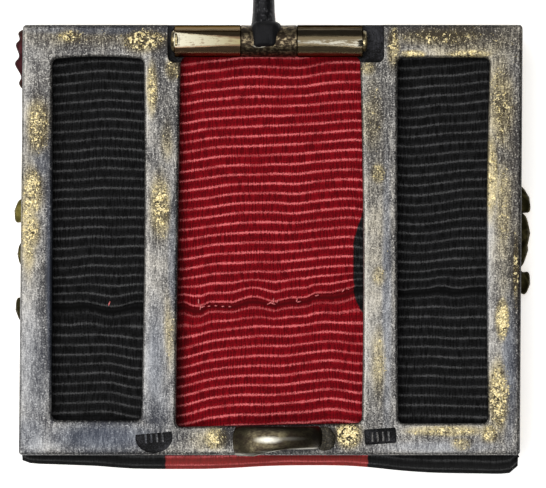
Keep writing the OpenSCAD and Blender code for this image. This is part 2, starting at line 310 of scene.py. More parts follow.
back_plate = block("back_plate", (-WIDTH / 2, -HEIGHT / 2, BACK_LOW),
                   (WIDTH / 2, HEIGHT / 2, BACK_HIGH))
edit(back_plate)
for (side, end), (x, y) in PLATE_CORNERS.items():
    choose(back_plate, "VERT", lambda p, v: p.x * side > 0 and p.y * end > 0)
    bpy.ops.transform.translate(value=((x - side * WIDTH / 2) * MM,
                                       (y - end * HEIGHT / 2) * MM, 0))
done()
for left, right, low_y, tilt, high_y, bow in WINDOWS:
    middle_x, half = (left[1] + right[1]) / 2, (right[1] - left[1]) / 2
    window = block("window", (left[1], low_y, BACK_LOW - PAST),
                   (right[1], high_y, BACK_HIGH + PAST))
    round_uprights(window, WINDOW_ROUND)
    edit(window)
    # The top and the sides are divided, so that they can bow
    choose(window, "EDGE", lambda p, e: p.y > high_y - 0.01 and abs(p.x - middle_x) < 0.1
           or abs(p.y - (low_y + high_y) / 2) < 0.1)
    bpy.ops.mesh.subdivide(number_cuts=WINDOW_CUTS)
    for v in bmesh.from_edit_mesh(window.data).verts:
        x, up = v.co.x / MM, (v.co.y / MM - low_y) / (high_y - low_y)
        inner = 1 - abs(x - middle_x) / (half - WINDOW_ROUND)
        if up > 0.999 and inner > 0.01:
            v.co.y += bow * MM * (1 - (1 - inner) ** 2)
        v.co.y += tilt * MM * (1 - up) * (x - left[1]) / (2 * half)
        low, middle, high = left if x < middle_x else right
        leans = (1 - up) * (1 - 2 * up) * (low - middle) + up * (2 * up - 1) * (high - middle)
        v.co.x += leans * MM * min(1, 2 - 2 * inner)
    done()
    cut(back_plate, window)
soften(back_plate, EASED, 3, material=1)
bed = block("bed", (BED[0], BED[2], BED_FLOOR), (BED[1], HEIGHT / 2 + PAST, BACK_HIGH + PAST))
round_uprights(bed, BED_ROUND)
cut(back_plate, bed)
cut(back_plate, block("notch", (KNUCKLE[0] - KNUCKLE_GAP, BED[2], BACK_LOW - PAST),
                      (KNUCKLE[1] + KNUCKLE_GAP, HEIGHT / 2 + PAST, BED_FLOOR + PAST)))
edit(back_plate)
choose(back_plate, "EDGE", lambda p, e: BED[0] - 0.01 < p.x < BED[1] + 0.01 and p.y > BED[2] - 0.01
       and min(v.co.z for v in e.verts) > (BACK_HIGH - 0.001) * MM)
bpy.ops.mesh.bevel(offset=BED_EASED * MM, segments=2, material=1)
done()

# The two struck marks are plain: a small bar and a half-round, each with a few short ridges
MARK_DEPTH = 0.3
RIDGES = (-0.6, -0.2, 0.2, 0.6)
RIDGE_HALF = 0.07
RIDGE_ENDS = (-0.38, 0.3)
RIDGE_HEIGHT = 0.12
BAR_HALF = (1.14, 0.56)
BAR_ROUND = 0.12
ROUND_R = 1.35
ROUND_SQUASH = 0.85
ROUND_TOP = 0.35
# Places of the marks: [x, y, turn in degrees]
BAR_PLACE = (7.95, -14.12, 4)
ROUND_PLACE = (-8.35, -14.2, 5)
mark_floor = BACK_HIGH - MARK_DEPTH


def strike(mark, x, y, turn):
    """Sinks a mark into the plate, but for its ridges."""
    for ridge_x in RIDGES:
        cut(mark, block("ridge", (ridge_x - RIDGE_HALF, RIDGE_ENDS[0], mark_floor - PAST),
                        (ridge_x + RIDGE_HALF, RIDGE_ENDS[1], mark_floor + RIDGE_HEIGHT)))
    mark.data.transform(Matrix.Translation((x * MM, y * MM, 0))
                        @ Matrix.Rotation(math.radians(turn), 4, "Z"))
    cut(back_plate, mark)


bar_mark = block("bar_mark", (-BAR_HALF[0], -BAR_HALF[1], mark_floor),
                 (*BAR_HALF, BACK_HIGH + PAST))
round_uprights(bar_mark, BAR_ROUND, 2)
strike(bar_mark, *BAR_PLACE)
round_mark = start(bpy.ops.mesh.primitive_cylinder_add, "round_mark", vertices=24,
                   radius=ROUND_R * MM, depth=(MARK_DEPTH + PAST) * MM, scale=(1, ROUND_SQUASH, 1),
                   location=(0, 0, (mark_floor + BACK_HIGH + PAST) / 2 * MM))
edit(round_mark)
bpy.ops.mesh.select_all(action="SELECT")
bpy.ops.mesh.bisect(plane_co=(0, ROUND_TOP * MM, 0), plane_no=(0, 1, 0), clear_outer=True,
                    use_fill=True)
done()
strike(round_mark, *ROUND_PLACE)
smooth(back_plate, 38)
finish_with(back_plate, "WEIGHTED_NORMAL", keep_sharp=True)

# Remains of gilding; darker stretches, partly tarnish and partly painted shade along the windows'
# edges and round the catch;
# lighter stretches, partly wear and partly painted light on edges that face the lamp; and bluish
# silver: [x, y, half width, half height, amount]
GILDING = [(-14.4, 14.7, 1.3, 0.7, 0.85), (-9.1, 14.4, 2.0, 1.1, 1.0), (-8.5, 11, 0.5, 2.4, 1.0),
           (-7, 12.3, 0.7, 1.0, 0.8), (-7.4, 7.2, 0.6, 1.8, 0.5), (-7.9, 2.4, 0.9, 2.9, 1.0),
           (-7.2, -6.5, 0.6, 3.5, 0.55), (-16.7, 8.2, 1.0, 2.5, 0.95), (-17.1, 3.6, 0.9, 2.3, 0.95),
           (-17.2, 0.6, 0.8, 1.7, 1.0), (-17.3, -6.5, 0.7, 7, 0.1), (8.9, 13.9, 0.6, 1.9, 0.85),
           (-12.5, 14.7, 6, 1.1, 0.4), (14.2, 14.2, 5.5, 2.4, 0.4), (17, 2, 1.2, 12, 0.3),
           (7.8, 1, 1.2, 12, 0.25), (-17.4, 1.2, 0.7, 4.6, 0.9), (-4.6, -14.4, 1.9, 1.1, 0.4),
           (10.3, 13.4, 1.2, 0.35, 1.1), (14.3, 13.4, 2.2, 0.4, 0.95), (12.5, 14.6, 4.8, 0.9, 0.65),
           (7.1, 12.4, 0.7, 0.7, 0.7), (7.4, 8.7, 1.0, 3.4, 0.5), (7.8, 4.8, 0.7, 1.0, 0.85),
           (16.6, 10, 1.3, 4.4, 0.7), (15.9, 4.7, 0.7, 3.8, 1.0), (16.8, 2.4, 0.9, 5.2, 0.6),
           (7.9, -2.6, 0.8, 1.1, 0.65), (7.9, -8.7, 0.8, 3.4, 0.6), (17.7, -2, 0.3, 3.4, 0.8),
           (16.75, -5.7, 0.6, 1.8, 1.45), (16.5, -11.2, 1.0, 3.1, 1.1), (-4, -14.3, 1.1, 1.0, 0.95),
           (5.6, -14.0, 1.15, 1.2, 1.35), (12.8, -13.75, 3.6, 0.5, 0.95),
           (13.8, -14.7, 1.0, 0.6, 0.8), (15.8, -13.9, 0.8, 0.8, 1.0)]
SHADE_AND_TARNISH = [(-9, 15.2, 7, 0.7, 0.6), (13, 15.0, 5.5, 0.8, 1.2), (-12, -14.3, 5, 1.2, 0.4),
        (-7.2, 14, 0.7, 1.6, 0.9), (-14, 14.2, 3, 1.2, 0.35), (-12, -12.95, 4.6, 0.45, 1.0),
        (-12, -15.3, 5, 0.3, 0.9), (8.4, 10.5, 1.2, 3.5, 0.4), (-7.7, 11, 0.9, 4.5, 0.5),
        (-7.6, 9.5, 0.7, 3.2, 0.4), (0.6, -13.3, 3.8, 0.5, 1.6), (1.8, -15.0, 2.6, 0.35, 1.4),
        (4.3, -14.3, 0.7, 1.1, 1.2), (-15.65, 0, 0.8, 15.5, 0.5), (18.0, 0, 0.9, 17, 0.8),
        (-6.55, 0, 0.5, 15, 0.6), (9.2, 0, 0.3, 15, 0.2), (-3.1, -14.1, 0.5, 1.0, 1.5),
        (0, 15.45, 17, 0.14, 1.6), (14.5, 14.5, 5, 1.8, 0.65), (-12.5, 14.5, 6, 1.2, 0.45),
        (17, 8, 1.2, 6, 0.3)]
LIGHT_AND_RUBBING = [(-17.8, -4, 1.2, 10, 0.95), (-17.9, 10, 0.8, 6, 0.9), (-8.9, -5, 0.6, 10, 0.65),
         (-8.1, -6, 1.1, 9, 0.2), (-8.8, 11, 0.5, 5, 0.7), (6.8, -2, 0.35, 13, 1.1),
         (7.4, -3, 1.0, 9, 0.6), (8.4, -8, 0.35, 6, 0.5), (-16.5, -14.8, 1.6, 0.6, 0.7),
         (15.8, 0, 0.55, 14, 0.95), (16.2, -6, 1.2, 8, 0.4), (10.5, -14.9, 5, 0.6, 0.8),
         (-5.5, -14.8, 1.4, 0.5, 0.7), (-7.4, 13.0, 0.25, 0.3, 1.5),
         (12.5, -13.65, 4.8, 0.55, 1.0), (-4.3, -15.1, 1.5, 0.2, 1.1),
         (-4.8, -14.4, 1.6, 1.0, 0.5), (12.4, 13.45, 4.6, 0.45, 0.8)]
BLUE = [(-12, -14.2, 5.0, 1.3, 1.0), (-15.7, -3, 0.5, 11, 1.0), (-8.3, -9, 0.9, 5, 0.7),
        (8.4, -4, 0.4, 12, 0.6), (17.2, -9, 0.6, 6, 0.8), (-12, 15.1, 6, 0.4, 0.6),
        (-16.3, 5.5, 1.2, 1.2, 0.5), (15.4, -3, 0.4, 6, 0.6), (-7, -2, 0.4, 6, 0.5),
        (12, -14.9, 5, 0.5, 0.5), (-17, -9.5, 1.5, 6.5, 0.45), (-17.2, -14, 1.6, 2, 0.6),
        (-8.2, -12, 1.3, 3, 0.5)]
# Colours of the plate, each from its darkest to its lightest
GREY_SILVER = ((0.026, 0.025, 0.026), (0.455, 0.44, 0.415))
BLUE_SILVER = ((0.03, 0.034, 0.046), (0.34, 0.36, 0.395))
WARM_FILM = ((0.03, 0.023, 0.013), (0.48, 0.41, 0.25))
RUBBED_GOLD = ((0.3, 0.23, 0.09), (0.8, 0.69, 0.4))
CUT_SHADE_AND_TARNISH = ((0.001, 0.001, 0.001), (0.03, 0.03, 0.034))
PIT = (0.016, 0.012, 0.008)


def worn_plate(name, rough_low, metal, smoothed):
    """Grey silver with rubbed gilding over it: a warm film, curls of gold and brown pits, painted
    glints, and stretches of painted light and painted shade. Below its top face, in its cuts, it is
    painted near black, partly as tarnish and partly as painted shade."""
    silver = Finish(name, IOR=1.45, Specular_IOR_Level=0.25)
    fine = silver.grain(silver.place, 0.11 * MM, 2, 0.6)
    streak = silver.grain(silver.stretched(silver.place, 1, 0.18, 1), 0.12 * MM, 3, 0.6)
    cloud = silver.grain(silver.place, 1.8 * MM, 3)
    drift = silver.grain(silver.place, 4.5 * MM, 1)
    curl = silver.node("Math", {"operation": "PINGPONG"},
                       [silver.grain(silver.place, 0.42 * MM, 2, 0.6) * 4, 0.5]) * 2
    ring = silver.node("Math", {"operation": "PINGPONG"},
                       [silver.grain(silver.stretched(silver.place, 1.3, 0.8, 1), 0.33 * MM, 2, 0.6)
                        * 4, 0.5]) * 2
    # Painted glints: thin bright curls that lighten the colour where scratches would catch the light
    painted_glints = silver.band(ring * 0.5 + fine * 0.7, 0.78, 0.9)
    speckle = silver.band(fine * 0.65 + streak * 0.35, 0.38 - smoothed * 0.3, 0.64)
    blue = silver.spots(BLUE)
    # The tone takes painted light and painted shade from the lighter and darker stretches
    tone = speckle * (0.31 - blue * 0.15) + streak * 0.34 + (cloud + drift - 1) * 0.4 \
        + silver.spots(LIGHT_AND_RUBBING) * 0.25 - silver.spots(SHADE_AND_TARNISH) * 0.25 + painted_glints * (0.36 - blue * 0.2) \
        + smoothed + 0.02
    grey = silver.mix(blue, silver.mix(silver.band(tone, 0.05, 0.95), *GREY_SILVER),
                      silver.mix(silver.band(tone, 0.05, 0.95), *BLUE_SILVER))
    zone = silver.spots(GILDING)
    film = silver.band(zone * 0.95 + cloud * 0.5 - blue * 0.5, 0.12, 1.05)
    brown = silver.mix(silver.band(tone, 0.08, 0.88), *WARM_FILM)
    colour = silver.mix(film, grey, brown)
    flake = silver.node("TexNoise", inputs={"Vector": silver.place, "Scale": 1 / (0.32 * MM),
                                            "Detail": 4, "Roughness": 0.7, "Distortion": 0.6})
    pits = silver.band(zone * 0.15 - flake + 0.3, 0.0, 0.05)
    colour = silver.mix(pits * 0.85, colour, PIT)
    gold = silver.band(zone * 0.38 + flake * 0.9 + curl * 0.38 - 0.99, 0.0, 0.08)
    colour = silver.mix(gold * 0.85, colour,
                        silver.mix(silver.band(fine, 0.35, 0.65), *RUBBED_GOLD))
    # Painted shade: below the top face, in the windows' walls, the hinge's bed and the marks, the
    # silver is painted near black, partly as tarnish
    deep = silver.band(silver.part(silver.place, 2) / MM, BACK_HIGH - 0.1, BACK_HIGH - 0.25)
    colour = silver.mix(deep, colour, silver.mix(silver.band(fine * 0.5 + cloud * 0.5, 0.42, 0.7),
                                                 *CUT_SHADE_AND_TARNISH))
    rise = silver.bump(fine + streak * 0.5 + gold * 0.6, 0.03 * MM, 0.5,
                       silver.bump(cloud, 0.2 * MM, 0.5))
    return silver.show(Base_Color=colour, Metallic=gold * 0.1 + metal,
                       Roughness=fine * 0.25 + rough_low, Normal=rise)


back_plate.data.materials.append(worn_plate("worn_silver", 0.35, 0.75, 0.0))
back_plate.data.materials.append(worn_plate("rubbed_silver_edge", 0.12, 1.0, 0.15))
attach(back_plate, "badge")
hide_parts("back_frame")

# Hinge tube
# Two lengths of gilt tube rolled from sheet, so that a seam shows, soldered into the bed. Wear
# has left a flat along the back of each, and the right one is rubbed to silver.
HINGE_Y = 14.3
HINGE_Z = 6.05
TUBE_R = 1.15
TUBE_ENDS = (-6.825, 6.625)
TUBE_WALL = 0.4
TUBE_ROUND = 0.07
TUBE_CROWN = 0.05
BORE_DEPTH = 0.6
TUBE_CUTS = 11
SEAM_DEPTH = 0.06
# The walls of a bore or a seam lean in by this much
WALL_LEAN = 0.02
# Worn flats of the left and the right tube. Each has two ends: [x, middle above the axis, half
# width]
LEFT_FLAT = ((-6.8, 0.08, 0.54), (-2.1, -0.06, 0.2))
RIGHT_FLAT = ((2, -0.07, 0.12), (6.6, -0.18, 0.3))
# Turn of each seam from the top, in degrees
LEFT_SEAM = 36
RIGHT_SEAM = 55


def roughen(piece, size, amount):
    """Pushes a surface in and out by soft lumps of a size in millimetres."""
    lumps = bpy.data.textures.new("lumps", "CLOUDS")
    lumps.noise_scale = size * MM
    finish_with(piece, "DISPLACE", texture=lumps, strength=amount * MM, mid_level=0.5,
                texture_coords="LOCAL")
    bpy.data.textures.remove(lumps)


def tube(name, low_x, high_x, seam_angle, flat=None):
    """A piece of the hinge tube, with its seam this many degrees from the top, and with a worn
    flat if one is given."""
    piece = start(bpy.ops.mesh.primitive_cylinder_add, name, vertices=64, radius=TUBE_R * MM,
                  depth=(high_x - low_x) * MM, rotation=(0, math.radians(90), 0),
                  location=((low_x + high_x) / 2 * MM, HINGE_Y * MM, HINGE_Z * MM))
    edit(piece)
    choose(piece, "EDGE", lambda p, e: low_x + 0.1 < p.x < high_x - 0.1)
    bpy.ops.mesh.subdivide(number_cuts=TUBE_CUTS)
    choose(piece, "FACE", lambda p, f: abs(f.normal.x) > 0.9)
    bpy.ops.mesh.inset(thickness=TUBE_ROUND * MM, depth=TUBE_CROWN * MM, use_individual=True)
    bpy.ops.mesh.inset(thickness=(TUBE_WALL - TUBE_ROUND) * MM, use_individual=True)
    bpy.ops.mesh.inset(thickness=WALL_LEAN * MM, depth=-BORE_DEPTH * MM, use_individual=True)
    seam_y, seam_z = math.sin(math.radians(seam_angle)), math.cos(math.radians(seam_angle))
    choose(piece, "FACE", lambda p, f: f.normal.y * seam_y + f.normal.z * seam_z > 0.9985)
    bpy.ops.mesh.inset(thickness=WALL_LEAN * MM, depth=-SEAM_DEPTH * MM)
    for v in bmesh.from_edit_mesh(piece.data).verts if flat else ():
        (from_x, from_y, from_half), (to_x, to_y, to_half) = flat
        along = (v.co.x / MM - from_x) / (to_x - from_x)
        middle, half = from_y + along * (to_y - from_y), from_half + along * (to_half - from_half)
        off = v.co.y / MM - HINGE_Y - middle
        if v.co.z / MM > HINGE_Z + 0.5 and abs(off) < half:
            low, high = (math.sqrt(TUBE_R ** 2 - (middle + way * half) ** 2) for way in (-1, 1))
            limit = HINGE_Z + low + (high - low) * (off / half + 1) / 2
            v.co.z = min(v.co.z, limit * MM)
    done()
    roughen(piece, 1.1, 0.05)
    smooth(piece)
    return piece


def gilt_metal(name, light, dark, tarnish, size=0.5, **fixed):
    """Worn gilding: bright where it is rubbed, brown to black where tarnish has crept in."""
    gilt = Finish(name, Metallic=1.0, **fixed)
    cloud = gilt.grain(gilt.place, size * MM, 4, 0.6)
    fine = gilt.grain(gilt.stretched(gilt.place, 0.3, 1, 1), 0.09 * MM, 3)
    dirt = gilt.band(cloud * 0.75 + fine * 0.25, tarnish + 0.14, tarnish - 0.1)
    colour = gilt.mix(dirt, light, dark)
    rough = dirt * 0.22 + fine * 0.14 + fixed.get("Roughness", 0.22)
    return gilt, colour, rough, gilt.bump(fine + cloud, 0.02 * MM, 0.45)


def polished_flat_and_painted_light(name, flat, light, crown_shade, belly_tarnish_and_reflection, streaks):
    """Tarnished tube with a polished worn flat. The flat's colour at each end, as wear and as a
    painted highlight, shapes the highlight;
    above the axis the tube is painted dark as painted shade, and below it brown tarnish carries a
    painted red reflection of the ribbon."""
    metal = Finish(name, Metallic=1.0, Specular_Tint=(0, 0, 0, 1))
    left, right = flat
    grime = metal.grain(metal.place, 0.35 * MM, 4, 0.65)
    lines = metal.grain(metal.stretched(metal.place, 0.14, 1, 1), 0.09 * MM, 3, 0.6)
    along = (metal.part(metal.place, 0) / MM - left[0]) / (right[0] - left[0])
    height = metal.part(metal.place, 1) / MM - HINGE_Y
    off = height - left[1] - along * (right[1] - left[1])
    edge = off.math("ABSOLUTE") - left[2] - along * (right[2] - left[2]) + (lines - 0.5) * streaks
    rubbed = metal.band(lines * (0.35 + streaks * 0.6) + grime * (0.65 - streaks * 0.6),
                        0.42 + streaks * 0.19, 0.33 + streaks * 0.17)
    bright = metal.band(edge, 0.06, -0.1) * (1 - rubbed * (0.3 + streaks))
    core = metal.band(height.math("ABSOLUTE"), 0.55, 0.3)
    upper = metal.band(height, -0.15, 0.25)
    shade = metal.mix(upper, belly_tarnish_and_reflection, crown_shade)
    # Painted shade: round the axis the tube is painted dark, so that the lamp shows only on the flat
    shade = metal.mix(lines * (1 - core * 0.75) + core * 0.08, [0.3 * part for part in belly_tarnish_and_reflection], shade)
    shade = metal.mix(core * 0.75, shade, [0.12 * part for part in belly_tarnish_and_reflection])
    metal.show(Base_Color=metal.mix(bright, shade, metal.mix(along, *light)),
               Roughness=grime * 0.2 + 0.1,
               Normal=metal.bump(lines * streaks + grime * 0.4, 0.02 * MM, 0.4))
    return metal.material


left_tube = tube("hinge_tube_left", TUBE_ENDS[0], KNUCKLE[0] - KNUCKLE_GAP, LEFT_SEAM, LEFT_FLAT)
right_tube = tube("hinge_tube_right", KNUCKLE[1] + KNUCKLE_GAP, TUBE_ENDS[1], RIGHT_SEAM,
                  RIGHT_FLAT)
# Painted light: the pair of light colours paints each flat's highlight, the next colour is painted
# shade above the axis, and the last is tarnish with a painted red reflection of the ribbon
left_tube.data.materials.append(polished_flat_and_painted_light(
    "gilt_tube", LEFT_FLAT, ((0.26, 0.245, 0.19), (0.12, 0.1, 0.052)), (0.19, 0.155, 0.09),
    (0.4, 0.25, 0.145), 0.3))
right_tube.data.materials.append(polished_flat_and_painted_light(
    "rubbed_tube", RIGHT_FLAT, ((0.16, 0.155, 0.13), (0.22, 0.205, 0.165)), (0.062, 0.055, 0.047),
    (0.36, 0.28, 0.16), 0.65))
for piece in (left_tube, right_tube):
    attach(piece, "badge")
    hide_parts("back_frame")

# Hinge rod
# A gilt wire through the tube, with its ends hammered over to small domed heads.
ROD_R = 0.5
ROD_ENDS = {-1: -6.83, 1: 6.7}
ROD_HEAD = 0.25
HEAD_THICK = 0.14
# The dome of a head: [way in, rise]
HEAD_DOME = ((0.1, 0.1), (0.3, 0.06))
rod = start(bpy.ops.mesh.primitive_cylinder_add, "riveted_rod", vertices=32, radius=ROD_R * MM,
            depth=(ROD_ENDS[1] - ROD_ENDS[-1]) * MM, rotation=(0, math.radians(90), 0),
            location=((ROD_ENDS[1] + ROD_ENDS[-1]) / 2 * MM, HINGE_Y * MM, HINGE_Z * MM))
edit(rod)
for side, end_x in ROD_ENDS.items():
    choose(rod, "FACE", lambda p, f: f.normal.x * side > 0.9)
    bpy.ops.mesh.extrude_region_move()
    bpy.ops.transform.resize(value=(1, 1 + ROD_HEAD / ROD_R, 1 + ROD_HEAD / ROD_R),
                             center_override=(end_x * MM, HINGE_Y * MM, HINGE_Z * MM))
    bpy.ops.mesh.extrude_region_move(
        TRANSFORM_OT_translate={"value": (side * HEAD_THICK * MM, 0, 0)})
    for way_in, rise in HEAD_DOME:
        bpy.ops.mesh.inset(thickness=way_in * MM, depth=rise * MM)
done()
smooth(rod)
gilt, colour, rough, rise = gilt_metal("gilt_wire", (0.6, 0.5, 0.28), (0.07, 0.055, 0.03), 0.52)
rod.data.materials.append(gilt.show(Base_Color=colour, Roughness=rough, Normal=rise))
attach(rod, "badge")
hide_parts("hinge_rod")

# Dress pin
# A blackened steel pin, thick at its root and drawn to a point, soldered onto a gilt knuckle
# that turns on the rod. It lies open, with its point on the table.
PIN_X = -0.45
PIN_LENGTH = 30
TIP_R = 0.1
PIN_SEAM = 100
# Stations of the shaft from its root to its point: [way along, radius]
SHAFT = [(-0.1, 0.7), (0.5, 0.98), (0.9, 1.0), (1.35, 0.87), (2.1, 0.8), (3, 0.774), (5, 0.67),
         (7, 0.56), (12, 0.55), (18, 0.55), (24, 0.53), (27, 0.35), (29.6, 0.14), (30, 0.05)]
# The solder between knuckle and shaft: two corners, a place in its middle, and how far its two
# lower right corners are drawn out: [1 towards the point or -1 towards the windows, x, y]
SOLDER_LOW = (PIN_X - 0.84, 13.8, 6.2)
SOLDER_HIGH = (PIN_X + 0.9, 15.7, 7.36)
SOLDER_MIDDLE = (PIN_X, 15, 7)
SOLDER_DRAWN = ((1, 0.55, 0), (-1, 0.5, 0.25))
SOLDER_ROUND = 0.42
# A painted highlight, a pale crescent on the knuckle: [x, y, half width, half height, amount]
HIGHLIGHT_CRESCENT = [(-0.75, 13.93, 0.45, 0.13, 1.0)]
HIGHLIGHT_GILT = (0.9, 0.85, 0.7)
droop = math.asin((HINGE_Z - TIP_R) / PIN_LENGTH)


def turn_outwards():
    """Turns all faces of the piece in edit mode outwards."""
    bpy.ops.mesh.select_all(action="SELECT")
    bpy.ops.mesh.normals_make_consistent(inside=False)


def turned(name, stations, sides):
    """A round form along +Z through stations: [height, radius]."""
    form = start(bpy.ops.mesh.primitive_circle_add, name, vertices=sides,
                 radius=stations[0][1] * MM, fill_type="NGON", location=(0, 0, stations[0][0] * MM))
    edit(form)
    bpy.ops.mesh.select_all(action="SELECT")
    for (before, old_r), (after, new_r) in zip(stations, stations[1:]):
        bpy.ops.mesh.extrude_region_move(
            TRANSFORM_OT_translate={"value": (0, 0, (after - before) * MM)})
        bpy.ops.transform.resize(value=(new_r / old_r, new_r / old_r, 1),
                                 center_override=(0, 0, after * MM))
    turn_outwards()
    done()
    return form


pin_knuckle = tube("pin_knuckle", *KNUCKLE, PIN_SEAM)
gilt, colour, rough, rise = gilt_metal("brown_tube", (0.24, 0.19, 0.115), (0.026, 0.019, 0.013),
                                       0.54, 0.28)
# The knuckle's pale crescent is a painted highlight
pin_knuckle.data.materials.append(gilt.show(
    Base_Color=gilt.mix(gilt.spots(HIGHLIGHT_CRESCENT), colour, HIGHLIGHT_GILT), Roughness=rough, Normal=rise))

shaft = turned("pin_shaft", SHAFT, 32)
shaft.data.transform(Matrix.Translation((PIN_X * MM, HINGE_Y * MM, HINGE_Z * MM))
                     @ Matrix.Rotation(-math.radians(90) - droop, 4, "X"))
smooth(shaft, 60)
solder = block("pin_solder", SOLDER_LOW, SOLDER_HIGH)
edit(solder)
for side, drawn_x, drawn_y in SOLDER_DRAWN:
    choose(solder, "VERT", lambda p, v: p.x > SOLDER_MIDDLE[0] and p.z < SOLDER_MIDDLE[2]
           and (p.y - SOLDER_MIDDLE[1]) * side > 0)
    bpy.ops.transform.translate(value=(drawn_x * MM, drawn_y * MM, 0))
done()
finish_with(solder, "BEVEL", width=SOLDER_ROUND * MM, segments=6, limit_method="NONE")
finish_with(solder, "SUBSURF", levels=2, render_levels=2)
roughen(solder, 0.6, 0.12)
smooth(solder, 60)


def blackened(name, bare, roughness):
    """Blackened metal with scale and drawing lines: bare is the colour where it is rubbed."""
    metal = Finish(name, Metallic=0.85)
    scale = metal.grain(metal.place, 0.25 * MM, 4, 0.6)
    drawn = metal.grain(metal.stretched(metal.place, 1, 0.08, 1), 0.07 * MM, 2)
    rubbed = metal.band(scale * 0.6 + drawn * 0.4, 0.5, 0.72)
    return metal.show(Base_Color=metal.mix(rubbed, (0.009, 0.009, 0.01), bare),
                      Roughness=scale * 0.3 + roughness,
                      Normal=metal.bump(scale + drawn * 0.5, 0.04 * MM, 0.6))


for piece in (pin_knuckle, shaft, solder):
    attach(piece, "pin")
    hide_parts("dress_pin")
shaft.data.materials.append(blackened("blackened_steel", (0.09, 0.09, 0.095), 0.27))
solder.data.materials.append(blackened("black_solder", (0.016, 0.015, 0.014), 0.5))

# Catch
# A flattened silver wire bent into an arch that widens towards its free end. Its foot is
# soldered to the bottom rail, and the pin's point springs in under the free end.
CATCH_X = 0.4
CATCH_REACH = 3.4
CATCH_HEIGHT = 2.3
CATCH_TOP_EDGE = -13.38
CATCH_TURN = 155
CATCH_STEPS = 31
STRIP = (0.36, 0.82)
# The strip grows wider by this share, from this turn in degrees and over so many more
CATCH_WIDENS = 0.3
WIDENS_FROM = 70
WIDENS_OVER = 50
STRIP_ROUND = 0.1
FOOT_PLACE = (3.98, -14.25, BACK_HIGH + 0.03)
FOOT_HALF = (0.75, 0.88, 0.2)
# Painted highlights on the strip's arch and lower edge, and painted shade on its upper edge and
# right end: [x, y, half width, half height, amount]
STRIP_HIGHLIGHTS = [(-0.1, -14.33, 1.05, 0.27, 1.0), (1.4, -14.25, 1.3, 0.16, 0.3),
          (-1.7, -15.38, 1.5, 0.1, 0.8), (0.7, -15.2, 1.6, 0.12, 0.9),
          (2.6, -14.98, 1.3, 0.1, 0.7)]
SHADED = [(3.6, -14.2, 1.3, 1.2, 1.0), (0.5, -13.5, 3.6, 0.4, 1.0)]
HIGHLIGHT_ON_STRIP = (0.36, 0.345, 0.3)
BLACK_STRIP = (0.012, 0.01, 0.008)
LEAD = ((0.022, 0.019, 0.013), (0.12, 0.1, 0.066))


def choose_section(turn):
    """Selects the strip's section at this many degrees round the arch."""
    way = Vector((math.cos(math.radians(turn)), math.sin(math.radians(turn))))
    choose(catch, "VERT", lambda p, v: Vector((p.x - CATCH_X, p.z - BACK_HIGH)).normalized()
           .dot(way) > 0.9996)


strip_middle = ((CATCH_X + CATCH_REACH - STRIP[0]) * MM, (CATCH_TOP_EDGE - STRIP[1]) * MM,
                BACK_HIGH * MM)
catch = start(bpy.ops.mesh.primitive_circle_add, "catch", vertices=24, radius=MM,
              location=strip_middle)
edit(catch)
bpy.ops.mesh.select_all(action="SELECT")
bpy.ops.transform.resize(value=(*STRIP, 1), center_override=strip_middle)
bpy.ops.mesh.spin(steps=CATCH_STEPS, angle=math.radians(CATCH_TURN),
                  center=(CATCH_X * MM, 0, BACK_HIGH * MM), axis=(0, 1, 0))
for step in range(CATCH_STEPS + 1):
    turn = CATCH_TURN * step / CATCH_STEPS
    widen = 1 + CATCH_WIDENS * min(1, max(0, (turn - WIDENS_FROM) / WIDENS_OVER)) ** 1.5
    choose_section(turn)
    bpy.ops.transform.resize(value=(1, widen, 1), center_override=(0, CATCH_TOP_EDGE * MM, 0))
for turn in (0, CATCH_TURN):
    choose_section(turn)
    bpy.ops.mesh.edge_face_add()
    bpy.ops.mesh.select_mode(type="FACE")
    bpy.ops.mesh.inset(thickness=STRIP_ROUND * MM, depth=STRIP_ROUND * MM)
bpy.ops.mesh.select_mode(type="VERT")
turn_outwards()
bpy.ops.transform.resize(value=(1, 1, CATCH_HEIGHT / CATCH_REACH),
                         center_override=(0, 0, BACK_HIGH * MM))
done()
smooth(catch, 60)
gilt, colour, rough, rise = gilt_metal("bronzed_strip", (0.1, 0.085, 0.05), (0.035, 0.026, 0.018),
                                       0.5, 0.8)
# Painted light on the strip: pale spots paint its highlights and dark spots paint its shade
painted_highlight = gilt.spots(STRIP_HIGHLIGHTS)
colour = gilt.mix(gilt.spots(SHADED) * 0.8, colour, BLACK_STRIP)
catch.data.materials.append(gilt.show(
    Base_Color=gilt.mix(painted_highlight, colour, HIGHLIGHT_ON_STRIP), Roughness=rough - painted_highlight * 0.1, Normal=rise))
foot = start(bpy.ops.mesh.primitive_ico_sphere_add, "catch_solder", subdivisions=5, radius=MM,
             scale=FOOT_HALF, location=Vector(FOOT_PLACE) * MM)
roughen(foot, 0.9, 0.4)
smooth(foot, 60)
lead = Finish("dark_solder", Metallic=0.6)
pits = lead.grain(lead.place, 0.12 * MM, 4, 0.7)
foot.data.materials.append(lead.show(
    Base_Color=lead.mix(lead.band(pits, 0.48, 0.7), *LEAD), Roughness=pits * 0.4 + 0.4,
    Normal=lead.bump(pits, 0.05 * MM, 0.4)))
for piece, slot in ((catch, "worn_silver_gilt"), (foot, "dark_steel")):
    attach(piece, "badge")
    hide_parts("back_frame")

# Ribbon
# A band of ribbed silk, black, red and black, folded into a flat loop. Its ends are turned in
# and sewn together across the back, and the frames press it, so that its ribs run in waves.
RIBBON_WIDTH = 35.8
RIBBON_LOW = 2.25
RIBBON_HIGH = 4.55
RIB_PITCH = 0.7
RIB_HEIGHT = 0.17
# Rows of points to a rib, and columns of quads across the ribbon
RIB_ROWS = 7
ACROSS = 61
CLOTH = 0.45
FOLD_R = (RIBBON_HIGH - RIBBON_LOW) / 2
FOLD_MIDDLE = (RIBBON_HIGH + RIBBON_LOW) / 2
TOP_FOLD = 14.9
BOTTOM_FOLD = -16.4
SEAM_Y = -4.5
